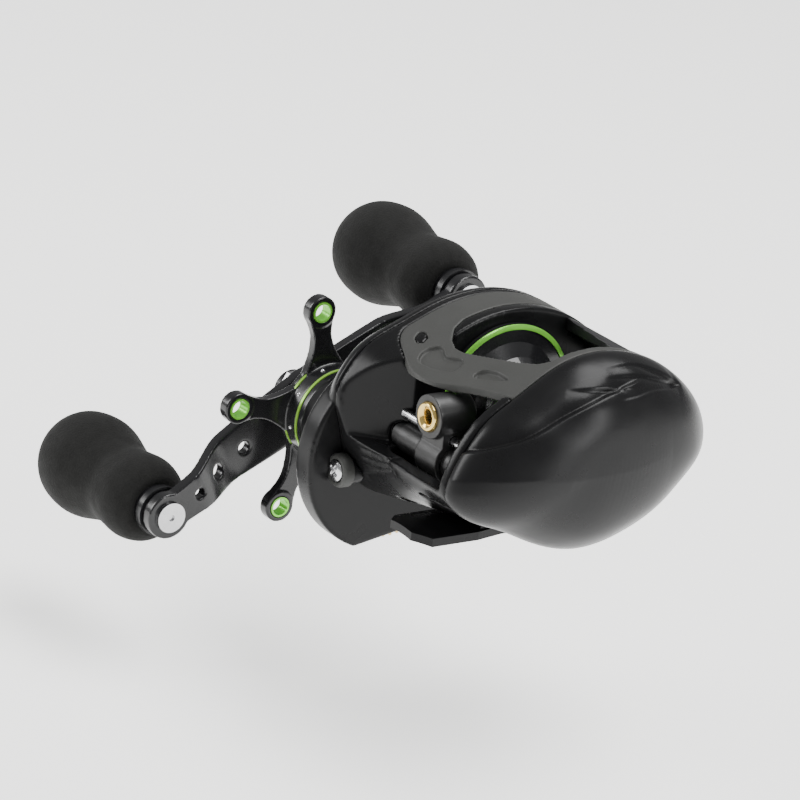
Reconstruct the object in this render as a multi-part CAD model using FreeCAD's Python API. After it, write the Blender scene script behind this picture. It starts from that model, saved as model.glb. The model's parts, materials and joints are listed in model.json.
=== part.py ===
import FreeCAD, Part
import math
import os

# Low-profile baitcasting reel, in millimetres.
# Frame: +Z up, -Y towards the rod tip, -X to the crank side, +X to the palm side.
# The origin is the middle of the reel foot, on the line joining its two lower edges.

os.makedirs("parts", exist_ok=True)
V = FreeCAD.Vector

# ---- gear train ------------------------------------------------------------
GEAR_MODULE = 0.6
MAIN_TEETH = 70
PINION_TEETH = 10
GEAR_SHIFT = 0.4            # profile shift: + on the pinion, - on the main gear
WIND_MODULE = 0.5
WIND_DRIVE_TEETH = 28
WIND_WORM_TEETH = 20
WIND_SHIFT = 0.0
BACKLASH = 0.10             # taken off each tooth's thickness at the pitch circle
PRESSURE_ANGLE = math.radians(20)

# ---- axes (all along X) ----------------------------------------------------
DRIVE_Y, DRIVE_Z = -13.7, 8.25
SPOOL_DIRECTION = math.radians(44.6)     # from drive axis to spool axis, above +Y
WORM_DIRECTION = math.radians(126.7)
CENTRES = GEAR_MODULE * (MAIN_TEETH + PINION_TEETH) / 2
WIND_CENTRES = WIND_MODULE * (WIND_DRIVE_TEETH + WIND_WORM_TEETH) / 2
SPOOL_Y = DRIVE_Y + CENTRES * math.cos(SPOOL_DIRECTION)
SPOOL_Z = DRIVE_Z + CENTRES * math.sin(SPOOL_DIRECTION)
WORM_Y = DRIVE_Y + WIND_CENTRES * math.cos(WORM_DIRECTION)
WORM_Z = DRIVE_Z + WIND_CENTRES * math.sin(WORM_DIRECTION)
BAR_Y, BAR_Z = WORM_Y - 0.5, WORM_Z + 5.2

# ---- clearances ------------------------------------------------------------
RUN = 0.05                  # radial, shaft in a plain hole
GAP = 0.4                   # between bodies that pass each other
SEAT = 0.05                 # between a cover and what it closes on

# ---- spool -----------------------------------------------------------------
SPOOL_R = 17.5
SPOOL_INNER = 22.0          # between the flanges
FLANGE = 1.4
ARBOR_R = 9.0
SHAFT_R = 1.5
BEARING_R = 5.0
BEARING_W = 4.0

# ---- frame stations along X ------------------------------------------------
SPOOL_HALF = SPOOL_INNER / 2 + FLANGE
WALL_IN = SPOOL_HALF + 0.6  # inner face of the frame's side walls
WALL = 2.6
PALM_X = WALL_IN + WALL     # seam of the palm side plate
HANDLE_WALL_X = -PALM_X
SEAM_X = HANDLE_WALL_X - 10.8   # seam of the gear case
DECK_Z = 3.0                # underside of the frame, over the foot
SKIN = 1.6                  # wall of the hood and covers
DRAWN_WALL_IN = 13.0        # the plan outlines below are drawn for walls at this distance

# ---- reel foot -------------------------------------------------------------
FOOT_W = 15.0
FOOT_L = 60.0
FOOT_R = 28.0               # saddle radius of the underside
FOOT_EDGE = 1.9
FOOT_WAIST = 0.9            # how far the sides are waisted
FOOT_CORNER = 3.5
PLINTH_HALF = 13.0
RIVET_R = 1.2
RIVET_PLACES = [(x, y) for x in (-4, 4) for y in (-10, 10)]

# ---- gear case -------------------------------------------------------------
MAIN_X = SEAM_X - 2.0       # inboard face of the main gear
MAIN_W = 2.4
CASE_R = 23.7               # drum round the main gear
CASE_RIM_X = SEAM_X - 5.8
CASE_STEP_X = CASE_RIM_X - 4.8
CASE_STEP_R = 15.0
NECK_R = 12.4
NECK_X = SEAM_X - 21.4
CASE_FLOOR_Z = -14.2        # flat under the drum, below the drive axis
CASE_FLOOR_RISE = 9.6       # its slope in degrees, rising to the rear
CASE_FLOOR_LEAN = 22.0      # and rising from the rim towards the frame
CONTROL_X0 = CASE_RIM_X - 2.0
CONTROL_X1 = CONTROL_X0 - 9.8
CONTROL_R = 8.6
CONTROL_BOSS_R = 6.4
CONTROL_BOSS_X = CONTROL_X0 - 5.8
KNURLS = 20
SPOOL_BEARING_X = CONTROL_X0 - 0.2
LUG_X, LUG_Y, LUG_Z = SEAM_X + 2.5, -31.0, 7.1
LUG_SCREW_R = 1.1
LUG_HEAD_R = 2.4

# ---- drive shaft, star and crank -------------------------------------------
DRIVE_R = 3.0
DRIVE_NOSE_R = 2.5          # where it runs in the inner bearing
STAR_X0 = NECK_X - 0.5
STAR_X1 = STAR_X0 - 9.0
STAR_R = 11.6
STAR_REACH = 25.0
STAR_EYE_R = 3.7
STAR_HOLE_R = 2.45
STAR_ARMS = 5
STAR_TURN = 172.4           # first arm, degrees from +Y towards +Z
STAR_ARM_X = STAR_X1 + 1.2
STAR_ARM_T = 2.4
STAR_EYE_T = 3.0
STAR_BORE = DRIVE_R + 2.2
RING_X = (STAR_X0 - 2.5, STAR_X1 + 2.0)
RING_W = 0.7
RING_DEEP = 0.6
EYELET_WALL = 0.45
EYELET_STANDS = 0.15
PIN_X = STAR_X1 - 0.5       # inner face of the crank arm at its ends
CRANK_L = 90.0              # knob axis to knob axis
CRANK_T = 3.0
CRANK_SWEEP = 4.4
CRANK_TURN = 30.0           # the arm's slope above +Y
CRANK_EYE_R = 5.5
CRANK_HUB_R = 7.6
CRANK_HOLES = [(9.2, 1.3), (16.4, 1.75), (25.2, 1.5)]   # inwards from the knob axis, radius
NUT_H = 3.4
NUT_R = 5.8
DRIVE_END_X = PIN_X - CRANK_SWEEP - CRANK_T - NUT_H - 1.6
POST_R = 2.0
POST_END = 43.0             # outboard end of the knob post, from PIN_X

# ---- knobs, measured outboard from PIN_X -----------------------------------
COLLAR_R = 6.0
COLLAR_STEP = 5.2
COLLAR_FROM, COLLAR_TO = CRANK_T + 0.4, 7.0
KNOB_BALL_AT, KNOB_BALL_R = 35.0, 12.4
KNOB_TIP = 47.4
KNOB_TUBE_R = 3.6
KNOB_CAP_T = 1.6
KNOB_BEARING_W = 2.5
KNOB_BEARING_R = 3.1
KNOB_BEARING_X = (PIN_X - COLLAR_FROM - 0.01, PIN_X - POST_END + 0.6 + KNOB_BEARING_W)

# ---- line guide and worm ---------------------------------------------------
GUIDE_Z = 28.0
GUIDE_R = 5.0
GUIDE_FRONT = -26.0
GUIDE_REAR = -16.4
GUIDE_TRAVEL = 7.5
EYE_R = 1.5
EYE_RING_R = 3.4
EYE_DEEP = 2.5
SHIELD_R = 3.5
WORM_R = 2.5
WORM_END_R = 1.5
WORM_PITCH = 4.0
BAR_R = 1.1
PAWL_R = 1.2

# ---- clutch and pinion -----------------------------------------------------
CLUTCH_TRAVEL = 2.0
YOKE_POST_OFF = 8.5
YOKE_POST_R = 1.0
YOKE_T = 1.3
POST_X1 = MAIN_X - 1.2
GROOVE_X0 = SEAM_X + 2.5
GROOVE_X1 = GROOVE_X0 - 1.6
GROOVE_R = 2.3
YOKE_X = GROOVE_X0 - 0.15
PINION_X0 = HANDLE_WALL_X - 3.8
PINION_X1 = MAIN_X - MAIN_W - 0.8
PINION_TEETH_X = MAIN_X + CLUTCH_TRAVEL + 0.4
PINION_BODY_R = 3.4
PERP = SPOOL_DIRECTION + math.pi / 2
POST_PLACES = [(SPOOL_Y + side * YOKE_POST_OFF * math.cos(PERP),
                SPOOL_Z + side * YOKE_POST_OFF * math.sin(PERP)) for side in (-1, 1)]
PLATE_T = 1.4
CASE_PLATE_X = HANDLE_WALL_X - SEAT
DRIVE_BEARING_X = CASE_PLATE_X - PLATE_T
WIND_X0, WIND_X1 = DRIVE_BEARING_X - 6.95, DRIVE_BEARING_X - 4.95

# ---- drag and one-way clutch -----------------------------------------------
DRAG_R = 12.4
DRAG_T = 0.6
DRAG_X = MAIN_X - 1.0
ROLLER_X = CASE_STEP_X - 1.2
ROLLER_W = 6.0
ROLLER_R = 8.0
SLEEVE_R = 4.3

# ---- brake -----------------------------------------------------------------
SHOES = 6
SHOE_HUB_R = 6.5
DRUM_R = SPOOL_R - 5.9
DRUM_WALL = 0.9
BRAKE_DISC_R = SPOOL_R - 2.2

# ---- gear sizes that other pieces clear ------------------------------------
MAIN_TIP_R = GEAR_MODULE * (MAIN_TEETH / 2 + 1 - GEAR_SHIFT)
WIND_TIP_R = WIND_MODULE * (WIND_DRIVE_TEETH / 2 + 1)
WIND_WORM_TIP_R = WIND_MODULE * (WIND_WORM_TEETH / 2 + 1)

# ---- outer outlines, (y, z), listed from the nose over the top --------------
PALM_OUTLINE = [
    (-31.0, 17.5), (-27.6, 25.6), (-22.6, 32.0), (-15.9, 36.4), (-8.7, 40.9),
    (-2.3, 43.9), (6.0, 45.3), (17.0, 43.6), (28.0, 37.4), (34.9, 29.0),
    (36.0, 20.5), (31.5, 14.0), (25.6, 8.2), (16.5, 3.1), (3.0, 0.2),
    (-8.5, 3.2), (-17.8, 7.4), (-27.0, 11.3)]
HANDLE_OUTLINE = [
    (-32.0, 20.0), (-32.6, 25.0), (-30.4, 30.2), (-26.2, 35.2), (-17.5, 39.6),
    (-7.0, 43.8), (4.0, 45.7), (15.0, 44.4), (26.0, 39.0), (33.2, 30.5),
    (35.6, 21.5), (33.2, 12.0), (26.0, 4.6), (15.0, -0.4), (2.0, -2.8),
    (-10.0, -2.4), (-20.5, 0.2), (-28.6, 9.0)]


# share of the palm cover's depth, and how large its outline is there
PALM_DEPTH = 15.7
PALM_SECTIONS = [(0.0, 1.0), (0.12, 1.012), (0.3, 0.985), (0.5, 0.912), (0.68, 0.804),
                 (0.82, 0.66), (0.92, 0.485), (0.98, 0.29), (1.0, 0.13)]
PALM_CENTRE = (3.0, 23.0)
PALM_LEAN = (-3.1, 5.2)     # how far the dome's top stands off its base centre

# plan outlines, (x, y): the hood's front edge and the window behind it, crank side first
HOOD_EDGE_X = SEAM_X + 2.0
HOOD_REAR_Y = 27.0
HOOD_FRONT = [(-24.4, -15.0), (-23.9, -17.6), (-22.0, -19.7), (-17.2, -21.9), (-12.5, -23.5),
              (-8.6, -23.9), (-3.6, -22.9), (0.6, -21.0), (4.9, -18.9), (9.9, -17.0), (15.6, -15.3)]
WINDOW_REAR_Y = 17.0
WINDOW = [(-16.2, WINDOW_REAR_Y), (-16.2, -7.0), (-15.0, -10.2), (-11.9, -12.9), (-9.0, -13.9),
          (-6.2, -13.7), (-2.2, -12.2), (2.7, -10.3), (7.5, -8.5), (11.6, -6.4), (13.2, -4.0),
          (13.4, WINDOW_REAR_Y)]
HOOD_HOLE = [(-17.1, -15.6), (-19.2, -14.9), (-20.4, -15.8), (-19.5, -17.6), (-17.5, -18.3),
             (-16.4, -17.4)]
HOOD_POCKETS = [[(-13.3, -20.3), (-13.0, -16.3), (-12.0, -15.6), (-8.7, -16.6), (-3.8, -15.3),
                 (-2.8, -17.8), (-4.6, -19.6), (-9.9, -21.2)],
                [(2.0, -16.0), (2.3, -14.6), (4.5, -13.3), (8.3, -12.7), (9.8, -12.9),
                 (8.1, -14.3), (5.0, -15.8)]]
POCKET_DEEP = 0.8

# ---- thumb bar, at the rear of the window ----------------------------------
THUMB_FROM, THUMB_TO = 19.5, 33.0
THUMB_SLOPE = 4.0           # degrees that its top falls towards the palm side

MOUTH_LIP_Z = 16.0
MOUTH_FLOOR = [(-24.2, -60.0), (-24.2, -31.5), (-13.0, -20.5), (-13.0, -14.0), (13.0, -14.0),
               (13.0, -60.0)]
MOUTH_WALL = 1.5            # left between the mouth and the gear chamber


def across(x):
    """An X of the plan outlines, carried to where the walls really are."""
    if abs(x) <= DRAWN_WALL_IN:
        return x * WALL_IN / DRAWN_WALL_IN
    return x + math.copysign(WALL_IN - DRAWN_WALL_IN, x)


def cyl(x0, x1, r, y, z):
    low, high = min(x0, x1), max(x0, x1)
    return Part.makeCylinder(r, high - low, V(low, y, z), V(1, 0, 0))


def ring(x0, x1, outer, inner, y, z):
    return cyl(x0, x1, outer, y, z).cut(cyl(x0 - 1, x1 + 1, inner, y, z)
                                        if x0 < x1 else cyl(x0 + 1, x1 - 1, inner, y, z))


def cone(x0, x1, r0, r1, y, z):
    if x0 < x1:
        return Part.makeCone(r0, r1, x1 - x0, V(x0, y, z), V(1, 0, 0))
    return Part.makeCone(r1, r0, x0 - x1, V(x1, y, z), V(1, 0, 0))


def box(x0, x1, y0, y1, z0, z1):
    return Part.makeBox(x1 - x0, y1 - y0, z1 - z0, V(x0, y0, z0))


def at(outline, x):
    """Closed smooth wire through the outline's points, in the plane at x."""
    curve = Part.BSplineCurve()
    curve.interpolate(Points=[V(x, y, z) for y, z in outline], PeriodicFlag=True)
    return Part.Wire([curve.toShape()])


def inset(outline, d):
    """The outline moved inwards by d, each point along its own normal."""
    out = []
    n = len(outline)
    for i, (y, z) in enumerate(outline):
        (ya, za), (yb, zb) = outline[i - 1], outline[(i + 1) % n]
        ty, tz = yb - ya, zb - za
        size = math.hypot(ty, tz)
        out.append((y + d * tz / size, z - d * ty / size))
    return out


def between(a, b, t):
    return [(p[0] + (q[0] - p[0]) * t, p[1] + (q[1] - p[1]) * t) for p, q in zip(a, b)]


def scaled(outline, k, centre):
    cy, cz = centre
    return [(cy + (y - cy) * k, cz + (z - cz) * k) for y, z in outline]


def prism(wire, length):
    return Part.Face(wire).extrude(V(length, 0, 0))


def loft(wires, ruled=False):
    return Part.makeLoft(wires, True, ruled)


def polar(y, z, r, angle):
    return y + r * math.cos(angle), z + r * math.sin(angle)


def involute(base, r):
    t = math.sqrt(max((r / base) ** 2 - 1, 0))
    return t - math.atan(t)


def gear(x0, x1, module, teeth, shift, y, z, turn):
    """Spur gear about X with involute flanks; turn puts a tooth's middle there."""
    pitch = module * teeth / 2
    base = pitch * math.cos(PRESSURE_ANGLE)
    tip = pitch + module * (1 + shift)
    root = pitch + module * (shift - 1.25)
    thick = module * (math.pi / 2 + 2 * shift * math.tan(PRESSURE_ANGLE)) - BACKLASH
    half = thick / (2 * pitch) + involute(base, pitch)
    start = max(base, root) + 0.001
    steps = 4
    flank = []
    for i in range(steps + 1):
        r = start + (tip - start) * i / steps
        flank.append((r, half - involute(base, r)))
    points = []
    for k in range(teeth):
        middle = turn + 2 * math.pi * k / teeth
        points.append((root, middle - flank[0][1] - 0.15 / root))
        points += [(r, middle - a) for r, a in flank]
        points += [(r, middle + a) for r, a in reversed(flank)]
        points.append((root, middle + flank[0][1] + 0.15 / root))
    corners = [V(x0, *polar(y, z, r, a)) for r, a in points]
    corners.append(corners[0])
    return Part.Face(Part.makePolygon(corners)).extrude(V(x1 - x0, 0, 0))


def bearing(x0, x1, outer, inner, y, z):
    """Two races with a shield between them."""
    wall = (outer - inner) / 4
    low, high = min(x0, x1), max(x0, x1)
    return [ring(low, high, outer, outer - wall, y, z),
            ring(low, high, inner + wall, inner, y, z),
            ring(low + 0.3, high - 0.3, outer - wall, inner + wall, y, z)]


def outline_top(y):
    """Height of the frame's top at y, on the crank side wall."""
    t = (HANDLE_WALL_X - SEAM_X) / (PALM_X - SEAM_X)
    outline = between(HANDLE_OUTLINE, PALM_OUTLINE, t)
    top = [(a, b) for a, b in zip(outline, outline[1:]) if a[0] <= y <= b[0]][0]
    (ya, za), (yb, zb) = top
    return za + (zb - za) * (y - ya) / (yb - ya)


def save(name, *shapes):
    solids = []
    for shape in shapes:
        solids += shape.Solids
    shape = solids[0] if len(solids) == 1 else Part.makeCompound(solids)
    shape.exportStep("parts/%s.step" % name)


# ============================================================================
# Frame and covers
# ============================================================================
def outer_body(depth, x0, x1):
    """The lofted body between two stations, its skin taken in by depth."""
    wires = []
    for x in (x0, x1):
        t = (x - SEAM_X) / (PALM_X - SEAM_X)
        wires.append(at(inset(between(HANDLE_OUTLINE, PALM_OUTLINE, t), depth), x))
    return loft(wires, True)


def mouth_funnel():
    """Opening in front of the line guide, wider towards the crank side."""
    corners = [V(across(x), y, MOUTH_LIP_Z) for x, y in MOUTH_FLOOR]
    return Part.Face(Part.makePolygon(corners + corners[:1])).extrude(V(0, 0, 60))


def make_frame():
    body = outer_body(0, SEAM_X, PALM_X)
    body = body.cut(cyl(-WALL_IN, PALM_X + 1, SPOOL_R + 0.6, SPOOL_Y, SPOOL_Z))
    body = body.cut(mouth_funnel())
    # window over the spool and the room behind it for the thumb bar
    body = body.cut(box(-WALL_IN, WALL_IN, -60, WINDOW_REAR_Y, 21, 80))
    body = body.cut(box(-WALL_IN, WALL_IN, 10, 60, 26, 80))
    # room for the worm, its shield and the guide's carriage
    body = body.cut(box(-WALL_IN, WALL_IN, WORM_Y - 5.6, -12, WORM_Z - 7.8, 40))
    body = body.cut(make_hood())
    # sloping lip round the crank side of the window
    lip = cone(across(WINDOW[0][0]), -WALL_IN + 0.1, SPOOL_R + 1.9, SPOOL_R + 0.9, SPOOL_Y, SPOOL_Z)
    lip = lip.cut(cyl(-60, 60, SPOOL_R + 0.4, SPOOL_Y, SPOOL_Z))
    body = body.cut(lip.common(box(-60, 0, -12.0, WINDOW_REAR_Y, 32, 80)))
    # gear chamber, open at the seam
    chamber = outer_body(3.4, SEAM_X - 1, HANDLE_WALL_X)
    mouth_x = across(MOUTH_FLOOR[0][0]) - MOUTH_WALL
    keep = [(mouth_x, -60), (mouth_x, -30.9), (HANDLE_WALL_X, -19.0), (HANDLE_WALL_X + 1, -60)]
    wire = Part.makePolygon([V(x, y, MOUTH_LIP_Z - MOUTH_WALL) for x, y in keep + keep[:1]])
    chamber = chamber.cut(Part.Face(wire).extrude(V(0, 0, 60)))
    body = body.cut(chamber)
    # underside, cleared for the rod on both sides of the foot
    body = body.cut(box(HANDLE_WALL_X, WALL_IN, -60, 60, -20, DECK_Z))
    # room for the level-wind gears and the inner bearing of the drive shaft
    body = body.cut(cyl(HANDLE_WALL_X, SEAM_X - 1, WIND_TIP_R + 0.6, DRIVE_Y, DRIVE_Z))
    body = body.cut(cyl(HANDLE_WALL_X, SEAM_X - 1, WORM_END_R + GAP, WORM_Y, WORM_Z))
    body = body.cut(cyl(WIND_X1 + GAP, WIND_X0 - GAP, WIND_WORM_TIP_R + GAP, WORM_Y, WORM_Z))
    body = body.cut(Part.makeCylinder(LUG_SCREW_R, 9, V(LUG_X, LUG_Y, LUG_Z), V(0, 1, 0)))
    # shaft holes in the walls
    body = body.cut(cyl(HANDLE_WALL_X - 1, -WALL_IN + 1, 3.0, WORM_Y, WORM_Z))
    body = body.cut(cyl(WALL_IN - 1, PALM_X + 1, 3.0, WORM_Y, WORM_Z))
    body = body.cut(cyl(HANDLE_WALL_X + 1, PALM_X - 1, BAR_R, BAR_Y, BAR_Z))
    body = body.cut(cyl(HANDLE_WALL_X - 1, -WALL_IN + 1, 6.5, SPOOL_Y, SPOOL_Z))
    for x, y in RIVET_PLACES:
        body = body.cut(Part.makeCylinder(RIVET_R, 4, V(x, y, DECK_Z - 1), V(0, 0, 1)))
    solids = sorted(body.Solids, key=lambda s: -s.Volume)
    return solids[0]


def make_foot():
    half_w, half_l = FOOT_W / 2, FOOT_L / 2
    waist, wing = half_w - FOOT_WAIST, FOOT_CORNER
    quarter = [(half_w - wing, half_l), (half_w, half_l - wing), (half_w, 14), (waist, 7)]
    right = quarter + [(x, -y) for x, y in reversed(quarter)]
    pts = right + [(-x, y) for x, y in reversed(right)]
    edges = [V(x, y, -5) for x, y in pts]
    plan = Part.Face(Part.makePolygon(edges + edges[:1])).extrude(V(0, 0, 20))
    sag = FOOT_R - math.sqrt(FOOT_R ** 2 - half_w ** 2)
    centre_z = sag - FOOT_R
    top = Part.makeCylinder(FOOT_R + FOOT_EDGE, FOOT_L, V(0, -half_l, centre_z), V(0, 1, 0))
    under = Part.makeCylinder(FOOT_R, FOOT_L + 2, V(0, -half_l - 1, centre_z), V(0, 1, 0))
    foot = plan.common(top).cut(under)
    plinth = box(-waist, waist, -PLINTH_HALF, PLINTH_HALF, 1.2, DECK_Z - SEAT).cut(under)
    foot = foot.fuse(plinth).removeSplitter()
    for x, y in RIVET_PLACES:
        foot = foot.cut(Part.makeCylinder(RIVET_R, 12, V(x, y, -4), V(0, 0, 1)))
    return foot


def plan_prism(points, rounded=False):
    """Vertical prism over a plan outline; rounded runs a smooth curve through it."""
    corners = [V(across(x), y, 20) for x, y in points]
    if rounded:
        curve = Part.BSplineCurve()
        curve.interpolate(Points=corners, PeriodicFlag=True)
        wire = Part.Wire([curve.toShape()])
    else:
        wire = Part.makePolygon(corners + corners[:1])
    return Part.Face(wire).extrude(V(0, 0, 60))


def hood_plan():
    front = Part.BSplineCurve()
    front.interpolate(Points=[V(across(x), y, 20) for x, y in HOOD_FRONT])
    xa, ya, xb, yb = HOOD_EDGE_X, HOOD_FRONT[0][1], PALM_X, HOOD_FRONT[-1][1]
    ends = [V(xb, yb, 20), V(xb, HOOD_REAR_Y, 20), V(xa, HOOD_REAR_Y, 20), V(xa, ya, 20)]
    sides = [Part.makeLine(a, b) for a, b in zip(ends, ends[1:])]
    plan = Part.Face(Part.Wire([front.toShape()] + sides)).extrude(V(0, 0, 60))
    behind = box(across(WINDOW[0][0]), PALM_X + 1, WINDOW_REAR_Y - 0.1, HOOD_REAR_Y + 1, 10, 90)
    return plan.cut(plan_prism(WINDOW)).cut(behind)


def make_hood():
    """Thin cover over the crank side and across in front of the spool."""
    skin = outer_body(0, SEAM_X, PALM_X).cut(outer_body(SKIN, SEAM_X - 1, PALM_X + 1))
    hood = skin.common(hood_plan())
    hood = hood.cut(plan_prism(HOOD_HOLE))
    # relief over the line guide's travel
    reach = GUIDE_TRAVEL + GUIDE_R + GAP
    hood = hood.cut(box(-reach, reach, GUIDE_FRONT - 5, GUIDE_REAR + GAP, 20, GUIDE_Z + GUIDE_R + GAP))
    floor = outer_body(POCKET_DEEP, SEAM_X - 1, PALM_X + 1)
    for outline in HOOD_POCKETS:
        hood = hood.cut(plan_prism(outline, True).cut(floor))
    return sorted(hood.Solids, key=lambda s: -s.Volume)[0]


def palm_dome(depth):
    wires = []
    last = PALM_DEPTH - depth
    for share, k in PALM_SECTIONS:
        x = PALM_X + SEAT + share * last
        section = scaled(inset(PALM_OUTLINE, depth), k, PALM_CENTRE)
        lean = 1 - k if k < 1 else 0
        section = [(y + PALM_LEAN[0] * lean, z + PALM_LEAN[1] * lean) for y, z in section]
        wires.append(at(section, x))
    return loft(wires)


def make_palm_plate():
    shell = palm_dome(0).cut(palm_dome(SKIN))
    # lip that centres the plate in the frame's round opening
    lip = ring(PALM_X - 1.6, PALM_X + SEAT + 0.5, SPOOL_R + 0.5, SPOOL_R - 0.8, SPOOL_Y, SPOOL_Z)
    web = ring(PALM_X + SEAT, PALM_X + SEAT + 1.0, SPOOL_R + 0.5, BRAKE_DISC_R, SPOOL_Y, SPOOL_Z)
    plate = shell.fuse(lip).fuse(web)
    # floor joining the ring to the rim
    floor = prism(at(inset(PALM_OUTLINE, 0.8), PALM_X + SEAT), 1.0).cut(
        cyl(PALM_X - 1, PALM_X + 3, SPOOL_R, SPOOL_Y, SPOOL_Z))
    plate = plate.fuse(floor)
    return sorted(plate.Solids, key=lambda s: -s.Volume)[0]


def case_outer(d):
    """Outside of the gear case, taken in by d on every wall."""
    plate = loft([at(inset(HANDLE_OUTLINE, d), SEAM_X - SEAT),
                  at(inset(HANDLE_OUTLINE, 0.8 + d), SEAM_X - 3.0),
                  at(inset(HANDLE_OUTLINE, 3.6 + d), CASE_RIM_X + 0.6 + d)])
    drum = cyl(SEAM_X - SEAT, CASE_RIM_X + d, CASE_R - d, DRIVE_Y, DRIVE_Z)
    dome = cone(CASE_RIM_X + d, CASE_STEP_X + d, CASE_R - d, CASE_STEP_R - d, DRIVE_Y, DRIVE_Z)
    neck = cone(CASE_STEP_X + d, NECK_X, CASE_STEP_R - d, NECK_R - d, DRIVE_Y, DRIVE_Z)
    floor = box(SEAM_X - 60, SEAM_X + 60, -60, 60, CASE_FLOOR_Z - 60, CASE_FLOOR_Z + d)
    floor.rotate(V(0, DRIVE_Y, CASE_FLOOR_Z), V(1, 0, 0), CASE_FLOOR_RISE)
    floor.rotate(V(CASE_RIM_X, 0, CASE_FLOOR_Z), V(0, 1, 0), -CASE_FLOOR_LEAN)
    return drum.fuse(dome).cut(floor).fuse(plate).fuse(neck)


def make_case():
    body = case_outer(0)
    body = body.cut(cyl(CONTROL_X0 + GAP, -90, CONTROL_R + 0.6, SPOOL_Y, SPOOL_Z))
    body = body.fuse(cyl(CASE_RIM_X, CONTROL_BOSS_X, CONTROL_BOSS_R, SPOOL_Y, SPOOL_Z))
    body = body.cut(case_outer(SKIN).common(box(CASE_RIM_X + SKIN, 0, -80, 80, -80, 80)))
    # chambers of the main gear, its drag stack, the one-way clutch and the shaft
    for x0, x1, r in ((SEAM_X - 1.2, CASE_RIM_X + 0.3, MAIN_TIP_R + 0.55),
                      (MAIN_X, CASE_STEP_X - 0.2, DRAG_R + 0.8),
                      (MAIN_X, NECK_X + 2.6, ROLLER_R),
                      (MAIN_X, NECK_X - 1, DRIVE_R + 1.5)):
        body = body.cut(cyl(x0, x1, r, DRIVE_Y, DRIVE_Z))
    # spool bearing seat inside the threaded boss
    body = body.cut(cyl(MAIN_X, SPOOL_BEARING_X, BEARING_R + GAP, SPOOL_Y, SPOOL_Z))
    body = body.cut(cyl(MAIN_X, CONTROL_BOSS_X - 1, BEARING_R, SPOOL_Y, SPOOL_Z))
    for y, z in POST_PLACES:
        body = body.cut(cyl(SEAM_X - 0.6, POST_X1 - 0.3, 2.3, y, z))
    # floor under the drum on its inboard side, outside the frame's outline
    web = cyl(SEAM_X - SEAT, SEAM_X - SEAT - 1.1, CASE_R - 0.5, DRIVE_Y, DRIVE_Z)
    web = web.common(case_outer(0.4))
    web = web.cut(prism(at(inset(HANDLE_OUTLINE, 2.4), SEAM_X - 5), 10))
    body = body.fuse(web)
    # lug that laps the frame's nose, with the front screw through it
    lug = Part.makeCylinder(3.4, 5.2, V(LUG_X, LUG_Y - 0.4, LUG_Z), V(0, 1, 0))
    lug = lug.fuse(box(SEAM_X - 1, LUG_X, LUG_Y, LUG_Y + 4.8, LUG_Z - 3.2, LUG_Z + 3.2))
    lug = lug.cut(outer_body(-SEAT, SEAM_X, PALM_X))
    lug = lug.cut(Part.makeCylinder(LUG_SCREW_R, 20, V(LUG_X, LUG_Y - 5, LUG_Z), V(0, 1, 0)))
    body = body.fuse(lug)
    return sorted(body.Solids, key=lambda s: -s.Volume)[0]


# ============================================================================
# Inside the gear case
# ============================================================================
def make_gear_plate():
    """Plate against the frame's wall: carries the inner drive bearing and the yoke posts."""
    x0, x1 = CASE_PLATE_X, CASE_PLATE_X - PLATE_T
    plate = cyl(x0, x1, 7.2, DRIVE_Y, DRIVE_Z)
    plate = plate.fuse(cyl(x0, x1, 11.0, SPOOL_Y, SPOOL_Z))
    arm = box(x1, x0, 0, CENTRES, -5.0, 5.0)
    arm.rotate(V(0, 0, 0), V(1, 0, 0), math.degrees(SPOOL_DIRECTION))
    arm.translate(V(0, DRIVE_Y, DRIVE_Z))
    plate = plate.fuse(arm)
    plate = plate.fuse(cyl(x1, x1 - 3.4, 6.0, DRIVE_Y, DRIVE_Z))
    plate = plate.common(prism(at(inset(HANDLE_OUTLINE, 3.6), SEAM_X - 4), 20))
    plate = plate.cut(cyl(x1, x1 - 9, BEARING_R, DRIVE_Y, DRIVE_Z))
    plate = plate.cut(cyl(x0 + 5, x1 - 9, 6.4, SPOOL_Y, SPOOL_Z))
    plate = plate.cut(cyl(x0 + 5, x1 - 9, 5.8, WORM_Y, WORM_Z))
    for y, z in POST_PLACES:
        plate = plate.cut(cyl(x0 + 1, x1 - 1, YOKE_POST_R, y, z))
    return sorted(plate.Solids, key=lambda s: -s.Volume)[0]


def make_pinion(turn):
    """Teeth start clear of the body by the clutch's travel, so it can slide along the main gear."""
    teeth = gear(PINION_X1, PINION_TEETH_X, GEAR_MODULE, PINION_TEETH, GEAR_SHIFT,
                 SPOOL_Y, SPOOL_Z, turn)
    body = cyl(PINION_X0, PINION_TEETH_X, PINION_BODY_R, SPOOL_Y, SPOOL_Z)
    body = body.cut(ring(GROOVE_X0, GROOVE_X1, 9, GROOVE_R, SPOOL_Y, SPOOL_Z))
    body = body.fuse(teeth)
    body = body.cut(cyl(0, -90, SHAFT_R + RUN, SPOOL_Y, SPOOL_Z))
    slot = box(PINION_X0 - 1.7, PINION_X0 + 1, -9, 9, -1.0, 1.0)
    slot.rotate(V(0, 0, 0), V(1, 0, 0), math.degrees(turn))
    slot.translate(V(0, SPOOL_Y, SPOOL_Z))
    return body.cut(slot)


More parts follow.
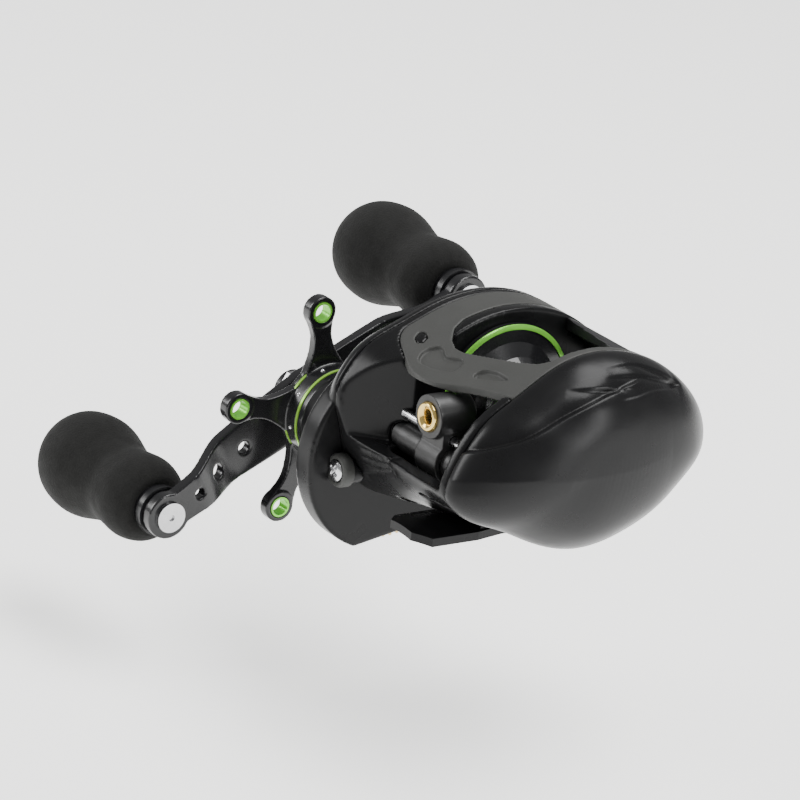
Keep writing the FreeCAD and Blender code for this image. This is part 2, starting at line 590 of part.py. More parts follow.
def make_yoke():
    x0, x1 = YOKE_X, YOKE_X - YOKE_T
    half = YOKE_POST_OFF + 2.6
    bar = box(x1, x0, -half, half, -2.6, 3.4)
    for s in (-1, 1):
        bar = bar.cut(cyl(0, -90, YOKE_POST_R + RUN, s * YOKE_POST_OFF, 0))
    bar = bar.cut(cyl(0, -90, GROOVE_R + 0.12, 0, 0))
    bar = bar.cut(box(-90, 0, -GROOVE_R - 0.12, GROOVE_R + 0.12, -9, 0))
    bar.rotate(V(0, 0, 0), V(1, 0, 0), math.degrees(PERP))
    bar.translate(V(0, SPOOL_Y, SPOOL_Z))
    return bar


def spring(x0, x1, r, wire, coils, y, z):
    """Closed rings stand for the coils, joined by a thin spine."""
    step = (x1 - x0 - 2 * wire) / (coils - 1)
    body = None
    for i in range(coils):
        torus = Part.makeTorus(r, wire, V(x0 + wire + i * step, y, z), V(1, 0, 0))
        body = torus if body is None else body.fuse(torus)
    spine = cyl(x0 + wire, x1 - wire, wire * 0.7, y + r, z)
    return body.fuse(spine)


def washer_stack(x0, step, count, outer, inner, t):
    return [ring(x0 - i * step - t, x0 - i * step, outer, inner, DRIVE_Y, DRIVE_Z)
            for i in range(count)]


# ============================================================================
# Crank, star and knobs
# ============================================================================
def blade(corners, thickness, x):
    """Flat piece at x, its edge a smooth curve from the first corner round to the last."""
    curve = Part.BSplineCurve()
    curve.interpolate(Points=[V(x - thickness / 2, a, b) for a, b in corners])
    root = Part.makeLine(curve.EndPoint, curve.StartPoint)
    return Part.Face(Part.Wire([curve.toShape(), root])).extrude(V(thickness, 0, 0))


def make_star():
    star = cyl(STAR_X0, STAR_X1, STAR_R, DRIVE_Y, DRIVE_Z)
    star = star.cut(cyl(STAR_X0, STAR_X0 - 3.0, STAR_R - 2.2, DRIVE_Y, DRIVE_Z))
    side = [(STAR_R - 2.5, -6.2), (STAR_R + 1.0, -4.2), (16.0, -2.8), (20.5, -2.5),
            (STAR_REACH, -3.0)]
    for i in range(STAR_ARMS):
        arm = blade(side + [(a, -b) for a, b in reversed(side)], STAR_ARM_T, STAR_ARM_X)
        eye = Part.makeCylinder(STAR_EYE_R, STAR_EYE_T,
                                V(STAR_ARM_X - STAR_EYE_T / 2, STAR_REACH, 0), V(1, 0, 0))
        hole = Part.makeCylinder(STAR_HOLE_R, 20, V(STAR_ARM_X - 10, STAR_REACH, 0), V(1, 0, 0))
        arm = arm.fuse(eye).cut(hole)
        arm.rotate(V(0, 0, 0), V(1, 0, 0), STAR_TURN + 360.0 / STAR_ARMS * i)
        arm.translate(V(0, DRIVE_Y, DRIVE_Z))
        star = star.fuse(arm)
    for x in RING_X:
        star = star.cut(ring(x - RING_W / 2, x + RING_W / 2, STAR_R + 0.3, STAR_R - RING_DEEP,
                             DRIVE_Y, DRIVE_Z))
    return star.cut(cyl(0, -120, STAR_BORE, DRIVE_Y, DRIVE_Z))


def eyelets():
    out = []
    half = STAR_EYE_T / 2 + EYELET_STANDS
    for i in range(STAR_ARMS):
        angle = math.radians(STAR_TURN + 360.0 / STAR_ARMS * i)
        y, z = polar(DRIVE_Y, DRIVE_Z, STAR_REACH, angle)
        out.append(ring(STAR_ARM_X - half, STAR_ARM_X + half, STAR_HOLE_R,
                        STAR_HOLE_R - EYELET_WALL, y, z))
    return out


def star_rings():
    return [ring(x - RING_W / 2, x + RING_W / 2, STAR_R + 0.05, STAR_R - RING_DEEP,
                 DRIVE_Y, DRIVE_Z) for x in RING_X]


def make_crank():
    half, t, sweep = CRANK_L / 2, CRANK_T, CRANK_SWEEP
    # side view of the swept strap: flat ends, flat middle, smooth in between
    rise = [(37, 0), (34, 0.4), (30, sweep / 2), (26, sweep - 0.4), (23, sweep)]
    walls = []
    for side in (1, -1):
        for lift in (0, t):
            curve = Part.BSplineCurve()
            curve.interpolate(Points=[V(PIN_X - b - lift, side * a, -20) for a, b in rise])
            walls.append(curve)
    near, far = walls[:2], walls[2:]
    end = half + 9
    edges = []
    for lift, right, left in ((0, near[0], far[0]), (t, near[1], far[1])):
        x = PIN_X - lift
        edges += [Part.makeLine(V(x, end, -20), right.StartPoint), right.toShape(),
                  Part.makeLine(right.EndPoint, left.EndPoint), left.toShape(),
                  Part.makeLine(left.StartPoint, V(x, -end, -20))]
    edges += [Part.makeLine(V(PIN_X, s * end, -20), V(PIN_X - t, s * end, -20)) for s in (-1, 1)]
    strap = Part.Face(Part.Wire(Part.__sortEdges__(edges))).extrude(V(0, 0, 40))
    # face view: the strap's two long edges are smooth curves, fuller in the middle
    top = [(-half, 4.3), (-36, 4.6), (-26, 5.8), (-13, 6.9), (0, 7.4), (13, 6.9), (26, 5.8),
           (36, 4.6), (half, 4.3)]
    upper, lower = Part.BSplineCurve(), Part.BSplineCurve()
    upper.interpolate(Points=[V(PIN_X - 20, a, b) for a, b in top])
    lower.interpolate(Points=[V(PIN_X - 20, a, -b) for a, b in top])
    plan = Part.Face(Part.Wire(Part.__sortEdges__([
        upper.toShape(), lower.toShape(), Part.makeLine(upper.StartPoint, lower.StartPoint),
        Part.makeLine(upper.EndPoint, lower.EndPoint)]))).extrude(V(40, 0, 0))
    for s in (-1, 1):
        plan = plan.fuse(cyl(PIN_X - 20, PIN_X + 20, CRANK_EYE_R, s * half, 0))
    plan = plan.fuse(cyl(PIN_X - 20, PIN_X + 20, CRANK_HUB_R, 0, 0))
    arm = strap.common(plan)
    for s in (-1, 1):
        for off, r in CRANK_HOLES:
            arm = arm.cut(cyl(-120, 0, r, s * (half - off), 0))
        arm = arm.cut(cyl(-120, 0, POST_R, s * half, 0))
    arm = arm.cut(cyl(-120, 0, DRIVE_R, 0, 0))
    arm.rotate(V(0, 0, 0), V(1, 0, 0), CRANK_TURN)
    arm.translate(V(0, DRIVE_Y, DRIVE_Z))
    return arm


KNOB_PLACES = {name: polar(DRIVE_Y, DRIVE_Z, side * CRANK_L / 2, math.radians(CRANK_TURN))
               for name, side in (("front", -1), ("rear", 1))}


def knob_post(y, z):
    post = cyl(PIN_X, PIN_X - POST_END, POST_R, y, z)
    post = post.fuse(cyl(PIN_X + 0.9, PIN_X, 3.6, y, z))
    return post.cut(cyl(PIN_X + 1.5, PIN_X + 0.4, 0.8, y, z))


def knob_foam(y, z):
    """Round-ended foam grip, a turned shape with a narrower neck."""
    points = [(COLLAR_TO, 7.4), (9.5, 9.6), (13.0, 10.3), (17.5, 9.8), (21.5, 9.6), (26.0, 10.7),
              (31.0, 12.1), (KNOB_BALL_AT, KNOB_BALL_R), (40.0, 11.5), (44.0, 9.0),
              (46.6, 5.6), (KNOB_TIP, 4.2)]
    curve = Part.BSplineCurve()
    curve.interpolate(Points=[V(PIN_X - a, y, z + r) for a, r in points])
    start, tip = PIN_X - COLLAR_TO, PIN_X - KNOB_TIP
    corners = [curve.EndPoint, V(tip, y, z + KNOB_TUBE_R), V(start, y, z + KNOB_TUBE_R),
               curve.StartPoint]
    sides = [Part.makeLine(p, q) for p, q in zip(corners, corners[1:])]
    wire = Part.Wire([curve.toShape()] + sides)
    return Part.Face(wire).revolve(V(0, y, z), V(1, 0, 0), 360)


def knob_collar(y, z):
    """Polished collar with the tube that carries the foam."""
    body = cyl(PIN_X - COLLAR_FROM, PIN_X - COLLAR_STEP, COLLAR_R, y, z)
    body = body.fuse(cyl(PIN_X - COLLAR_STEP, PIN_X - COLLAR_TO, COLLAR_R - 0.7, y, z))
    body = body.fuse(cyl(PIN_X - COLLAR_TO, PIN_X - KNOB_TIP + KNOB_CAP_T, KNOB_TUBE_R, y, z))
    body = body.cut(cyl(PIN_X, PIN_X - 60, POST_R + 0.35, y, z))
    for x0 in KNOB_BEARING_X:
        body = body.cut(cyl(x0, x0 - KNOB_BEARING_W, KNOB_BEARING_R, y, z))
    return body.cut(cyl(PIN_X - POST_END + 0.6, PIN_X - 60, KNOB_BEARING_R, y, z))


def save_crank():
    save("crank_arm", make_crank())
    mid = PIN_X - CRANK_SWEEP
    save("crank_spacer", ring(mid, STAR_X1 - 0.3, 5.0, DRIVE_R, DRIVE_Y, DRIVE_Z))
    nut_x = mid - CRANK_T - NUT_H
    corners = [V(nut_x, *polar(DRIVE_Y, DRIVE_Z, NUT_R, math.radians(60 * i))) for i in range(7)]
    nut = Part.Face(Part.makePolygon(corners)).extrude(V(NUT_H, 0, 0))
    save("crank_nut", nut.cut(cyl(0, -120, DRIVE_R, DRIVE_Y, DRIVE_Z)))
    cap = cyl(nut_x, DRIVE_END_X - 0.6, 4.6, DRIVE_Y, DRIVE_Z)
    save("crank_nut_cap", cap.cut(cyl(0, DRIVE_END_X, DRIVE_R, DRIVE_Y, DRIVE_Z)))
    save("knob_posts", *[knob_post(y, z) for y, z in KNOB_PLACES.values()])
    for name, (y, z) in KNOB_PLACES.items():
        tip = PIN_X - KNOB_TIP
        save("knob_collar_" + name, knob_collar(y, z))
        save("knob_foam_" + name, knob_foam(y, z))
        save("knob_bearings_" + name, *[
            ring(x0 - KNOB_BEARING_W, x0, KNOB_BEARING_R, POST_R + RUN, y, z)
            for x0 in KNOB_BEARING_X])
        save("knob_cap_" + name, cyl(tip + KNOB_CAP_T, tip, KNOB_TUBE_R, y, z))


# ============================================================================
# Line guide
# ============================================================================
def along_y(y0, length, r, x=0.0, z=GUIDE_Z):
    return Part.makeCylinder(r, length, V(x, y0, z), V(0, 1, 0))


def upright(z0, length, r):
    return Part.makeCylinder(r, length, V(0, WORM_Y, z0), V(0, 0, 1))


def make_carriage():
    half = 4.0
    housing = along_y(GUIDE_FRONT, GUIDE_REAR - GUIDE_FRONT, GUIDE_R)
    stem = box(-half, half, WORM_Y - 3.4, GUIDE_REAR - 0.2, WORM_Z, GUIDE_Z - 1)
    saddle = cyl(-half, half, SHIELD_R + 1.4, WORM_Y, WORM_Z)
    body = housing.fuse(stem).fuse(saddle).fuse(upright(WORM_Z - SHIELD_R - 3.2, 3.4, 2.6))
    body = body.cut(cyl(-20, 20, SHIELD_R + RUN, WORM_Y, WORM_Z))
    body = body.cut(cyl(-20, 20, BAR_R + RUN, BAR_Y, BAR_Z))
    body = body.cut(upright(WORM_Z - 11, 9, PAWL_R))
    throat = Part.makeCone(EYE_R + 0.4, EYE_R + 2.0, GUIDE_REAR - GUIDE_FRONT,
                           V(0, GUIDE_FRONT, GUIDE_Z), V(0, 1, 0))
    return body.cut(along_y(GUIDE_FRONT - 0.1, EYE_DEEP + 0.1, EYE_RING_R)).cut(throat)


def make_eye():
    eye = along_y(GUIDE_FRONT, EYE_DEEP, EYE_RING_R)
    lip = Part.makeTorus(EYE_R + 0.95, 0.85, V(0, GUIDE_FRONT, GUIDE_Z), V(0, 1, 0))
    eye = eye.fuse(lip.common(box(-9, 9, GUIDE_FRONT - 9, GUIDE_FRONT + 0.5, 0, 60)))
    return eye.cut(along_y(GUIDE_FRONT - 9, 20, EYE_R))


def make_worm():
    """Shaft with two crossing grooves, cut as tilted rings."""
    body = cyl(-WALL_IN + 0.3, WALL_IN - 0.3, WORM_R, WORM_Y, WORM_Z)
    tilt = math.degrees(math.atan(WORM_PITCH / (2 * WORM_R * math.pi) * 1.6))
    for lean in (-tilt, tilt):
        for i in range(-2, 3):
            groove = ring(-0.45, 0.45, WORM_R + 2, WORM_R - 0.7, 0, 0)
            groove.rotate(V(0, 0, 0), V(0, 0, 1), lean)
            groove.translate(V(i * WORM_PITCH, WORM_Y, WORM_Z))
            body = body.cut(groove)
    return body.fuse(cyl(WIND_X0 - 0.4, PALM_X - 0.4, WORM_END_R, WORM_Y, WORM_Z))


def make_shield():
    tube = ring(-WALL_IN + SEAT, WALL_IN - SEAT, SHIELD_R, WORM_R + 0.4, WORM_Y, WORM_Z)
    reach = GUIDE_TRAVEL + 3.0
    return tube.cut(box(-reach, reach, WORM_Y - PAWL_R - 0.4, WORM_Y + PAWL_R + 0.4,
                        WORM_Z - 9, WORM_Z))


def save_level_wind():
    save("line_guide", make_carriage())
    save("line_guide_eye", make_eye())
    pawl_z = WORM_Z - SHIELD_R - 3.6
    pawl = upright(pawl_z, 4.4, PAWL_R)
    save("guide_pawl", pawl.cut(cyl(-9, 9, WORM_R + 0.15, WORM_Y, WORM_Z)))
    save("pawl_cap", upright(pawl_z - 0.5, 0.8, 2.6).cut(upright(pawl_z, 3, PAWL_R)))
    save("worm_shaft", make_worm())
    save("worm_shield", make_shield())
    save("guide_bar", cyl(HANDLE_WALL_X + 1, PALM_X - 1, BAR_R, BAR_Y, BAR_Z))
    save("worm_bushings", *[ring(x0, x1, 3.0, WORM_END_R + RUN, WORM_Y, WORM_Z) for x0, x1 in (
        (HANDLE_WALL_X, -WALL_IN - SEAT), (WALL_IN + SEAT, PALM_X))])
    worm_gear = gear(WIND_X0, WIND_X1, WIND_MODULE, WIND_WORM_TEETH, WIND_SHIFT, WORM_Y, WORM_Z,
                     WORM_DIRECTION + math.pi + math.pi / WIND_WORM_TEETH)
    save("worm_gear", worm_gear.cut(cyl(0, -90, WORM_END_R, WORM_Y, WORM_Z)))


# ============================================================================
# Spool and brake
# ============================================================================
def make_spool():
    """Flanged drum turned from one bar, open inside."""
    half = SPOOL_INNER / 2
    outline = [(-half - FLANGE, SPOOL_R), (-half - 0.3, SPOOL_R), (-half + 0.5, SPOOL_R - 4.0),
               (-half + 3.2, ARBOR_R + 0.6), (0, ARBOR_R), (half - 3.2, ARBOR_R + 0.6),
               (half - 0.5, SPOOL_R - 4.0), (half + 0.3, SPOOL_R), (half + FLANGE, SPOOL_R),
               (half + FLANGE, SPOOL_R - 2.1), (half - 0.4, SPOOL_R - 5.5), (4.0, ARBOR_R - 1.4),
               (4.0, SHAFT_R), (-4.0, SHAFT_R), (-4.0, ARBOR_R - 1.4),
               (-half + 0.4, SPOOL_R - 5.5), (-half - FLANGE, SPOOL_R - 2.1)]
    pts = [V(x, SPOOL_Y, SPOOL_Z + r) for x, r in outline]
    return Part.Face(Part.makePolygon(pts + pts[:1])).revolve(
        V(0, SPOOL_Y, SPOOL_Z), V(1, 0, 0), 360)


def spin_up(shape, angle):
    """A piece drawn about the X axis, turned and carried to the spool's axis."""
    shape.rotate(V(0, 0, 0), V(1, 0, 0), angle)
    shape.translate(V(0, SPOOL_Y, SPOOL_Z))
    return shape


def save_spool(pinion_turn):
    save("spool", make_spool())
    save("spool_shaft", cyl(CONTROL_BOSS_X + 0.1, PALM_X + 5.0, SHAFT_R - 0.01, SPOOL_Y, SPOOL_Z))
    pin = Part.makeCylinder(0.7, 6.4, V(PINION_X0 - 0.9, 0, -3.2), V(0, 0, 1))
    pin = spin_up(pin, math.degrees(pinion_turn) + 90)
    save("spool_cross_pin", pin.cut(cyl(0, -90, SHAFT_R - 0.01, SPOOL_Y, SPOOL_Z)))
    palm_bearing_x = PALM_X + 1.9
    for name, x0 in (("crank_side", SPOOL_BEARING_X - BEARING_W), ("palm_side", palm_bearing_x)):
        save("spool_bearing_" + name, *bearing(x0, x0 + BEARING_W, BEARING_R, SHAFT_R + 0.02,
                                               SPOOL_Y, SPOOL_Z))
    hub = ring(SPOOL_HALF - FLANGE - 3.6, SPOOL_HALF + 1.0, SHOE_HUB_R, SHAFT_R - 0.01,
               SPOOL_Y, SPOOL_Z)
    shoes = []
    for i in range(SHOES):
        angle = 360.0 / SHOES * i
        foot = V(SPOOL_HALF + 0.1, 0, SHOE_HUB_R)
        stud = spin_up(Part.makeCylinder(0.5, 4.4, foot - V(0, 0, 1.2), V(0, 0, 1)), angle)
        shoe = spin_up(Part.makeCylinder(1.0, 2.2, foot + V(0, 0, 1.6), V(0, 0, 1)), angle)
        hub = hub.fuse(stud)
        shoes.append(shoe.cut(stud))
    save("brake_hub", hub.common(box(4.0, 60, -60, 60, -60, 90)))
    save("brake_shoes", *shoes)
    disc_x = PALM_X + SEAT + 0.6
    drum = ring(SPOOL_HALF - 1.2, disc_x + 1.0, DRUM_R + DRUM_WALL, DRUM_R, SPOOL_Y, SPOOL_Z)
    disc = ring(disc_x, disc_x + 1.0, BRAKE_DISC_R, SHAFT_R + 1.2, SPOOL_Y, SPOOL_Z)
    cup = ring(disc_x, palm_bearing_x + BEARING_W + 0.6, BEARING_R + 1.0, BEARING_R,
               SPOOL_Y, SPOOL_Z)
    seat = cyl(palm_bearing_x - 0.02, PALM_X + 60, BEARING_R, SPOOL_Y, SPOOL_Z)
    save("brake_drum", drum.fuse(disc).fuse(cup).cut(seat))


def save_cast_control():
    cap = cyl(CONTROL_X0, CONTROL_X1, CONTROL_R, SPOOL_Y, SPOOL_Z)
    cap = cap.cut(cyl(CASE_RIM_X, CONTROL_BOSS_X - 0.6, CONTROL_BOSS_R + RUN, SPOOL_Y, SPOOL_Z))
    for i in range(KNURLS):
        y, z = polar(SPOOL_Y, SPOOL_Z, CONTROL_R + 0.3, 2 * math.pi * i / KNURLS)
        cap = cap.cut(cyl(CONTROL_X0 + 1, CONTROL_X1 + 1.4, 0.6, y, z))
    save("cast_control_cap", cap)
    save("tension_disc", cyl(CONTROL_BOSS_X - 0.1, CONTROL_BOSS_X - 0.6, 4.0, SPOOL_Y, SPOOL_Z))


# ============================================================================
# Drive line and clutch
# ============================================================================
def save_drive_line(pinion_turn):
    main_gear = gear(MAIN_X - MAIN_W, MAIN_X, GEAR_MODULE, MAIN_TEETH, -GEAR_SHIFT,
                     DRIVE_Y, DRIVE_Z, SPOOL_DIRECTION)
    # dished for the drag stack, with a rim round the dish
    main_gear = main_gear.cut(cyl(MAIN_X - MAIN_W - 1, DRAG_X, DRAG_R + 0.2, DRIVE_Y, DRIVE_Z))
    main_gear = main_gear.fuse(ring(MAIN_X - MAIN_W, MAIN_X - MAIN_W - 0.8, DRAG_R + 2.6,
                                    DRAG_R + 0.2, DRIVE_Y, DRIVE_Z))
    save("main_gear", main_gear.cut(cyl(0, -90, DRIVE_R, DRIVE_Y, DRIVE_Z)))
    save("pinion_gear", make_pinion(pinion_turn))
    step = MAIN_X + 1.4
    shaft = cyl(step, DRIVE_END_X, DRIVE_R, DRIVE_Y, DRIVE_Z)
    shaft = shaft.fuse(cyl(DRIVE_BEARING_X - 0.1, step, DRIVE_NOSE_R, DRIVE_Y, DRIVE_Z))
    shaft = shaft.fuse(cyl(step - 0.1, MAIN_X + SEAT, BEARING_R, DRIVE_Y, DRIVE_Z))
    save("drive_shaft", shaft)
    save("drive_shaft_bearing", *bearing(DRIVE_BEARING_X - 0.3, DRIVE_BEARING_X - 3.3,
                                         BEARING_R, DRIVE_NOSE_R + RUN, DRIVE_Y, DRIVE_Z))
    wind_gear = gear(WIND_X0, WIND_X1, WIND_MODULE, WIND_DRIVE_TEETH, WIND_SHIFT,
                     DRIVE_Y, DRIVE_Z, WORM_DIRECTION)
    save("level_wind_drive_gear", wind_gear.cut(cyl(0, -90, DRIVE_NOSE_R, DRIVE_Y, DRIVE_Z)))
    pitch = 2 * DRAG_T
    save("drag_washers", *washer_stack(DRAG_X, pitch, 3, DRAG_R, DRIVE_R, DRAG_T))
    save("drag_plates", *washer_stack(DRAG_X - DRAG_T, pitch, 2, DRAG_R, DRIVE_R, DRAG_T))
    press_x = DRAG_X - 5 * DRAG_T
    save("pressure_plate", ring(press_x, press_x - 1.4, DRAG_R, DRIVE_R, DRIVE_Y, DRIVE_Z).fuse(
        ring(press_x - 1.4, press_x - 4.0, 6.5, DRIVE_R, DRIVE_Y, DRIVE_Z)))
    save("clutch_sleeve", ring(ROLLER_X + 0.5, ROLLER_X - ROLLER_W - 0.6, SLEEVE_R, DRIVE_R,
                               DRIVE_Y, DRIVE_Z))
    save("one_way_clutch", *bearing(ROLLER_X, ROLLER_X - ROLLER_W, ROLLER_R, SLEEVE_R + RUN,
                                    DRIVE_Y, DRIVE_Z))
    save("spring_washers", *washer_stack(NECK_X + 1.8, 1.0, 2, SLEEVE_R, DRIVE_R, 0.5))


def save_clutch():
    save("clutch_yoke", make_yoke())
    save("yoke_posts", *[cyl(CASE_PLATE_X, POST_X1, YOKE_POST_R, y, z) for y, z in POST_PLACES])
    save("yoke_springs", *[spring(POST_X1 + 0.1, YOKE_X - YOKE_T, 1.6, 0.2, 6, y, z)
                           for y, z in POST_PLACES])


# ============================================================================
# Casting, covers and foot
# ============================================================================
def save_body():
    frame = make_frame()
    save("frame", frame)
    save("reel_foot", make_foot())
    save("foot_rivets", *[Part.makeCylinder(RIVET_R, DECK_Z + 1.4, V(x, y, 1.2), V(0, 0, 1))
                          for x, y in RIVET_PLACES])
    save("hood", make_hood())
    save("palm_side_plate", make_palm_plate())
    save("gear_case", make_case())
    save("gear_plate", make_gear_plate().cut(frame))
    bar = outer_body(0.4, -WALL_IN + GAP, WALL_IN - GAP).cut(outer_body(3.2, -WALL_IN, WALL_IN))
    bar = bar.common(box(-60, 60, THUMB_FROM, THUMB_TO, 31, 80))
    slope = box(-60, 60, -60, 60, 0, 60)
    slope.rotate(V(0, 0, 0), V(0, 1, 0), THUMB_SLOPE)
    slope.translate(V(-WALL_IN, 0, outline_top(THUMB_FROM)))
    save("thumb_bar", bar.cut(slope))
    head = along_y(LUG_Y - 1.8, 1.4, LUG_HEAD_R, LUG_X, LUG_Z)
    save("case_screws", head.fuse(along_y(LUG_Y - 0.4, 5.2, LUG_SCREW_R - 0.02, LUG_X, LUG_Z)))


def main():
    pinion_turn = SPOOL_DIRECTION + math.pi + math.pi / PINION_TEETH
    save_body()
    save_drive_line(pinion_turn)
    save_clutch()
    save_spool(pinion_turn)
    save_cast_control()
    save_level_wind()
    save("star_drag_wheel", make_star())
    save("star_rings", *star_rings())
    save("star_eyelets", *eyelets())
    save_crank()


main()
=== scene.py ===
import json
import math

import bmesh
import bpy
from mathutils import Matrix, Vector
from mathutils.bvhtree import BVHTree
from mathutils.kdtree import KDTree


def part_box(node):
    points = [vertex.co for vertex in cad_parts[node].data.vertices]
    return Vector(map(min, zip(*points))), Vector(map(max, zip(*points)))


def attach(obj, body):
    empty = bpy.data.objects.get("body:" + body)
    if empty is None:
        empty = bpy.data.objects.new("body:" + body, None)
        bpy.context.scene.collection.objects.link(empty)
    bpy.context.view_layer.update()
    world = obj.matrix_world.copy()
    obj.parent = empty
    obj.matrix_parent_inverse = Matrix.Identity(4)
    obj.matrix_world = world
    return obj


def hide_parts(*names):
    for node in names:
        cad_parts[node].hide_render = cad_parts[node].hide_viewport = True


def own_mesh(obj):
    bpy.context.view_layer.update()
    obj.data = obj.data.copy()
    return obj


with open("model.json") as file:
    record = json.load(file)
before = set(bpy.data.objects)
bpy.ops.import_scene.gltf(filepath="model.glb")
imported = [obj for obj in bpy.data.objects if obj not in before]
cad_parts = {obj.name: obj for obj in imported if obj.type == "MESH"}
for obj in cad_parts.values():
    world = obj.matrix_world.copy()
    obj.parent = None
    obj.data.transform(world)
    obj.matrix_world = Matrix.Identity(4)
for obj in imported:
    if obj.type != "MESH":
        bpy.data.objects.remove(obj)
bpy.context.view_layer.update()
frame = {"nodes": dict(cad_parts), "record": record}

MM = 0.001

# The body that each CAD node rides on, and the finish that the record gives it.
BODY_OF = {node: body for body, nodes in frame["record"]["behaviour"]["bodies"].items()
           for node in nodes}
SLOT_OF = {part["node"]: part["material_slot"] for part in frame["record"]["subparts"]}


# ---------------------------------------------------------------------------
# Finishes
# ---------------------------------------------------------------------------
def new_finish(name, colour, metallic, roughness):
    """A Principled surface whose even values are set on its own sockets."""
    finish = bpy.data.materials.new(name)
    finish.use_nodes = True
    shader = finish.node_tree.nodes["Principled BSDF"]
    shader.inputs["Base Color"].default_value = (*colour, 1)
    shader.inputs["Metallic"].default_value = metallic
    shader.inputs["Roughness"].default_value = roughness
    return finish, finish.node_tree, shader


def grain(tree, size, detail=3.0, stretch=(1, 1, 1)):
    """Noise on the piece's own coordinates; size is the width of one blotch."""
    place = tree.nodes.new("ShaderNodeTexCoord")
    turn = tree.nodes.new("ShaderNodeMapping")
    turn.inputs["Scale"].default_value = stretch
    speck = tree.nodes.new("ShaderNodeTexNoise")
    speck.inputs["Scale"].default_value = 1 / size
    speck.inputs["Detail"].default_value = detail
    tree.links.new(place.outputs["Object"], turn.inputs["Vector"])
    tree.links.new(turn.outputs["Vector"], speck.inputs["Vector"])
    return speck.outputs["Fac"]


def vary_colour(tree, shader, factor, dark, light):
    """Blends the colour between two shades by the factor."""
    blend = tree.nodes.new("ShaderNodeMix")
    blend.data_type = "RGBA"
    blend.inputs["A"].default_value = (*dark, 1)
    blend.inputs["B"].default_value = (*light, 1)
    tree.links.new(factor, blend.inputs["Factor"])
    tree.links.new(blend.outputs["Result"], shader.inputs["Base Color"])


# Noise seldom leaves this range, so it is what gets spread over the whole roughness range.
NOISE_LOW, NOISE_HIGH = 0.3, 0.7


def vary_roughness(tree, shader, factor, low, high):
    """Lets the roughness wander between low and high by the factor."""
    spread = tree.nodes.new("ShaderNodeMapRange")
    spread.inputs["From Min"].default_value = NOISE_LOW
    spread.inputs["From Max"].default_value = NOISE_HIGH
    spread.inputs["To Min"].default_value = low
    spread.inputs["To Max"].default_value = high
    tree.links.new(factor, spread.inputs["Value"])
    tree.links.new(spread.outputs["Result"], shader.inputs["Roughness"])


def raise_grain(tree, shader, factor, height, strength):
    """Turns the factor into relief of that height."""
    bump = tree.nodes.new("ShaderNodeBump")
    bump.inputs["Distance"].default_value = height
    bump.inputs["Strength"].default_value = strength
    tree.links.new(factor, bump.inputs["Height"])
    tree.links.new(bump.outputs["Normal"], shader.inputs["Normal"])


def shade(colour, k):
    """The colour k times as bright."""
    return tuple(min(c * k, 1.0) for c in colour)


def coated_alloy(name, colour, low, high, coat=0.0, level=0.35):
    """Painted casting: faint orange peel, and gloss that wanders a little."""
    finish, tree, shader = new_finish(name, colour, 0.0, high)
    shader.inputs["Specular IOR Level"].default_value = level
    shader.inputs["Coat Weight"].default_value = coat
    shader.inputs["Coat Roughness"].default_value = 0.25
    broad = grain(tree, 9 * MM, 4)
    vary_colour(tree, shader, broad, shade(colour, 0.8), shade(colour, 1.25))
    vary_roughness(tree, shader, broad, low, high)
    raise_grain(tree, shader, grain(tree, 0.8 * MM, 2), 0.006 * MM, 0.12)
    return finish


def blasted_cover(name, colour):
    """Sand-textured matte paint."""
    finish, tree, shader = new_finish(name, colour, 0.0, 0.6)
    fine = grain(tree, 0.22 * MM, 2)
    vary_colour(tree, shader, fine, shade(colour, 0.75), shade(colour, 1.3))
    vary_roughness(tree, shader, grain(tree, 5 * MM, 4), 0.52, 0.66)
    raise_grain(tree, shader, fine, 0.03 * MM, 0.5)
    return finish


def moulded(name, colour, low, high):
    """Moulded plastic with a fine spark-eroded grain."""
    finish, tree, shader = new_finish(name, colour, 0.0, high)
    fine = grain(tree, 0.4 * MM, 3)
    vary_colour(tree, shader, fine, shade(colour, 0.85), shade(colour, 1.2))
    vary_roughness(tree, shader, grain(tree, 4 * MM, 4), low, high)
    raise_grain(tree, shader, fine, 0.02 * MM, 0.3)
    return finish


def turned_metal(name, colour, low, high, metallic=1.0):
    """Metal with fine lathe lines round X."""
    finish, tree, shader = new_finish(name, colour, metallic, high)
    lines = grain(tree, 0.25 * MM, 2, (1, 0.04, 0.04))
    vary_colour(tree, shader, grain(tree, 3 * MM, 3), shade(colour, 0.85), shade(colour, 1.1))
    vary_roughness(tree, shader, lines, low, high)
    raise_grain(tree, shader, lines, 0.004 * MM, 0.4)
    return finish


def closed_cell_foam(name, colour):
    """Ground foam: pores of two sizes and a dusty sheen."""
    finish, tree, shader = new_finish(name, colour, 0.0, 0.9)
    shader.inputs["Specular IOR Level"].default_value = 0.2
    shader.inputs["Sheen Weight"].default_value = 0.04
    shader.inputs["Sheen Roughness"].default_value = 0.5
    place = tree.nodes.new("ShaderNodeTexCoord")
    pores = tree.nodes.new("ShaderNodeTexVoronoi")
    pores.inputs["Scale"].default_value = 1 / (0.55 * MM)
    tree.links.new(place.outputs["Object"], pores.inputs["Vector"])
    fine = grain(tree, 0.3 * MM, 4)
    relief = tree.nodes.new("ShaderNodeMath")
    relief.operation = "ADD"
    tree.links.new(pores.outputs["Distance"], relief.inputs[0])
    tree.links.new(fine, relief.inputs[1])
    vary_colour(tree, shader, fine, shade(colour, 0.55), shade(colour, 1.9))
    vary_roughness(tree, shader, grain(tree, 3 * MM, 3), 0.82, 0.96)
    raise_grain(tree, shader, relief.outputs["Value"], 0.09 * MM, 0.6)
    return finish


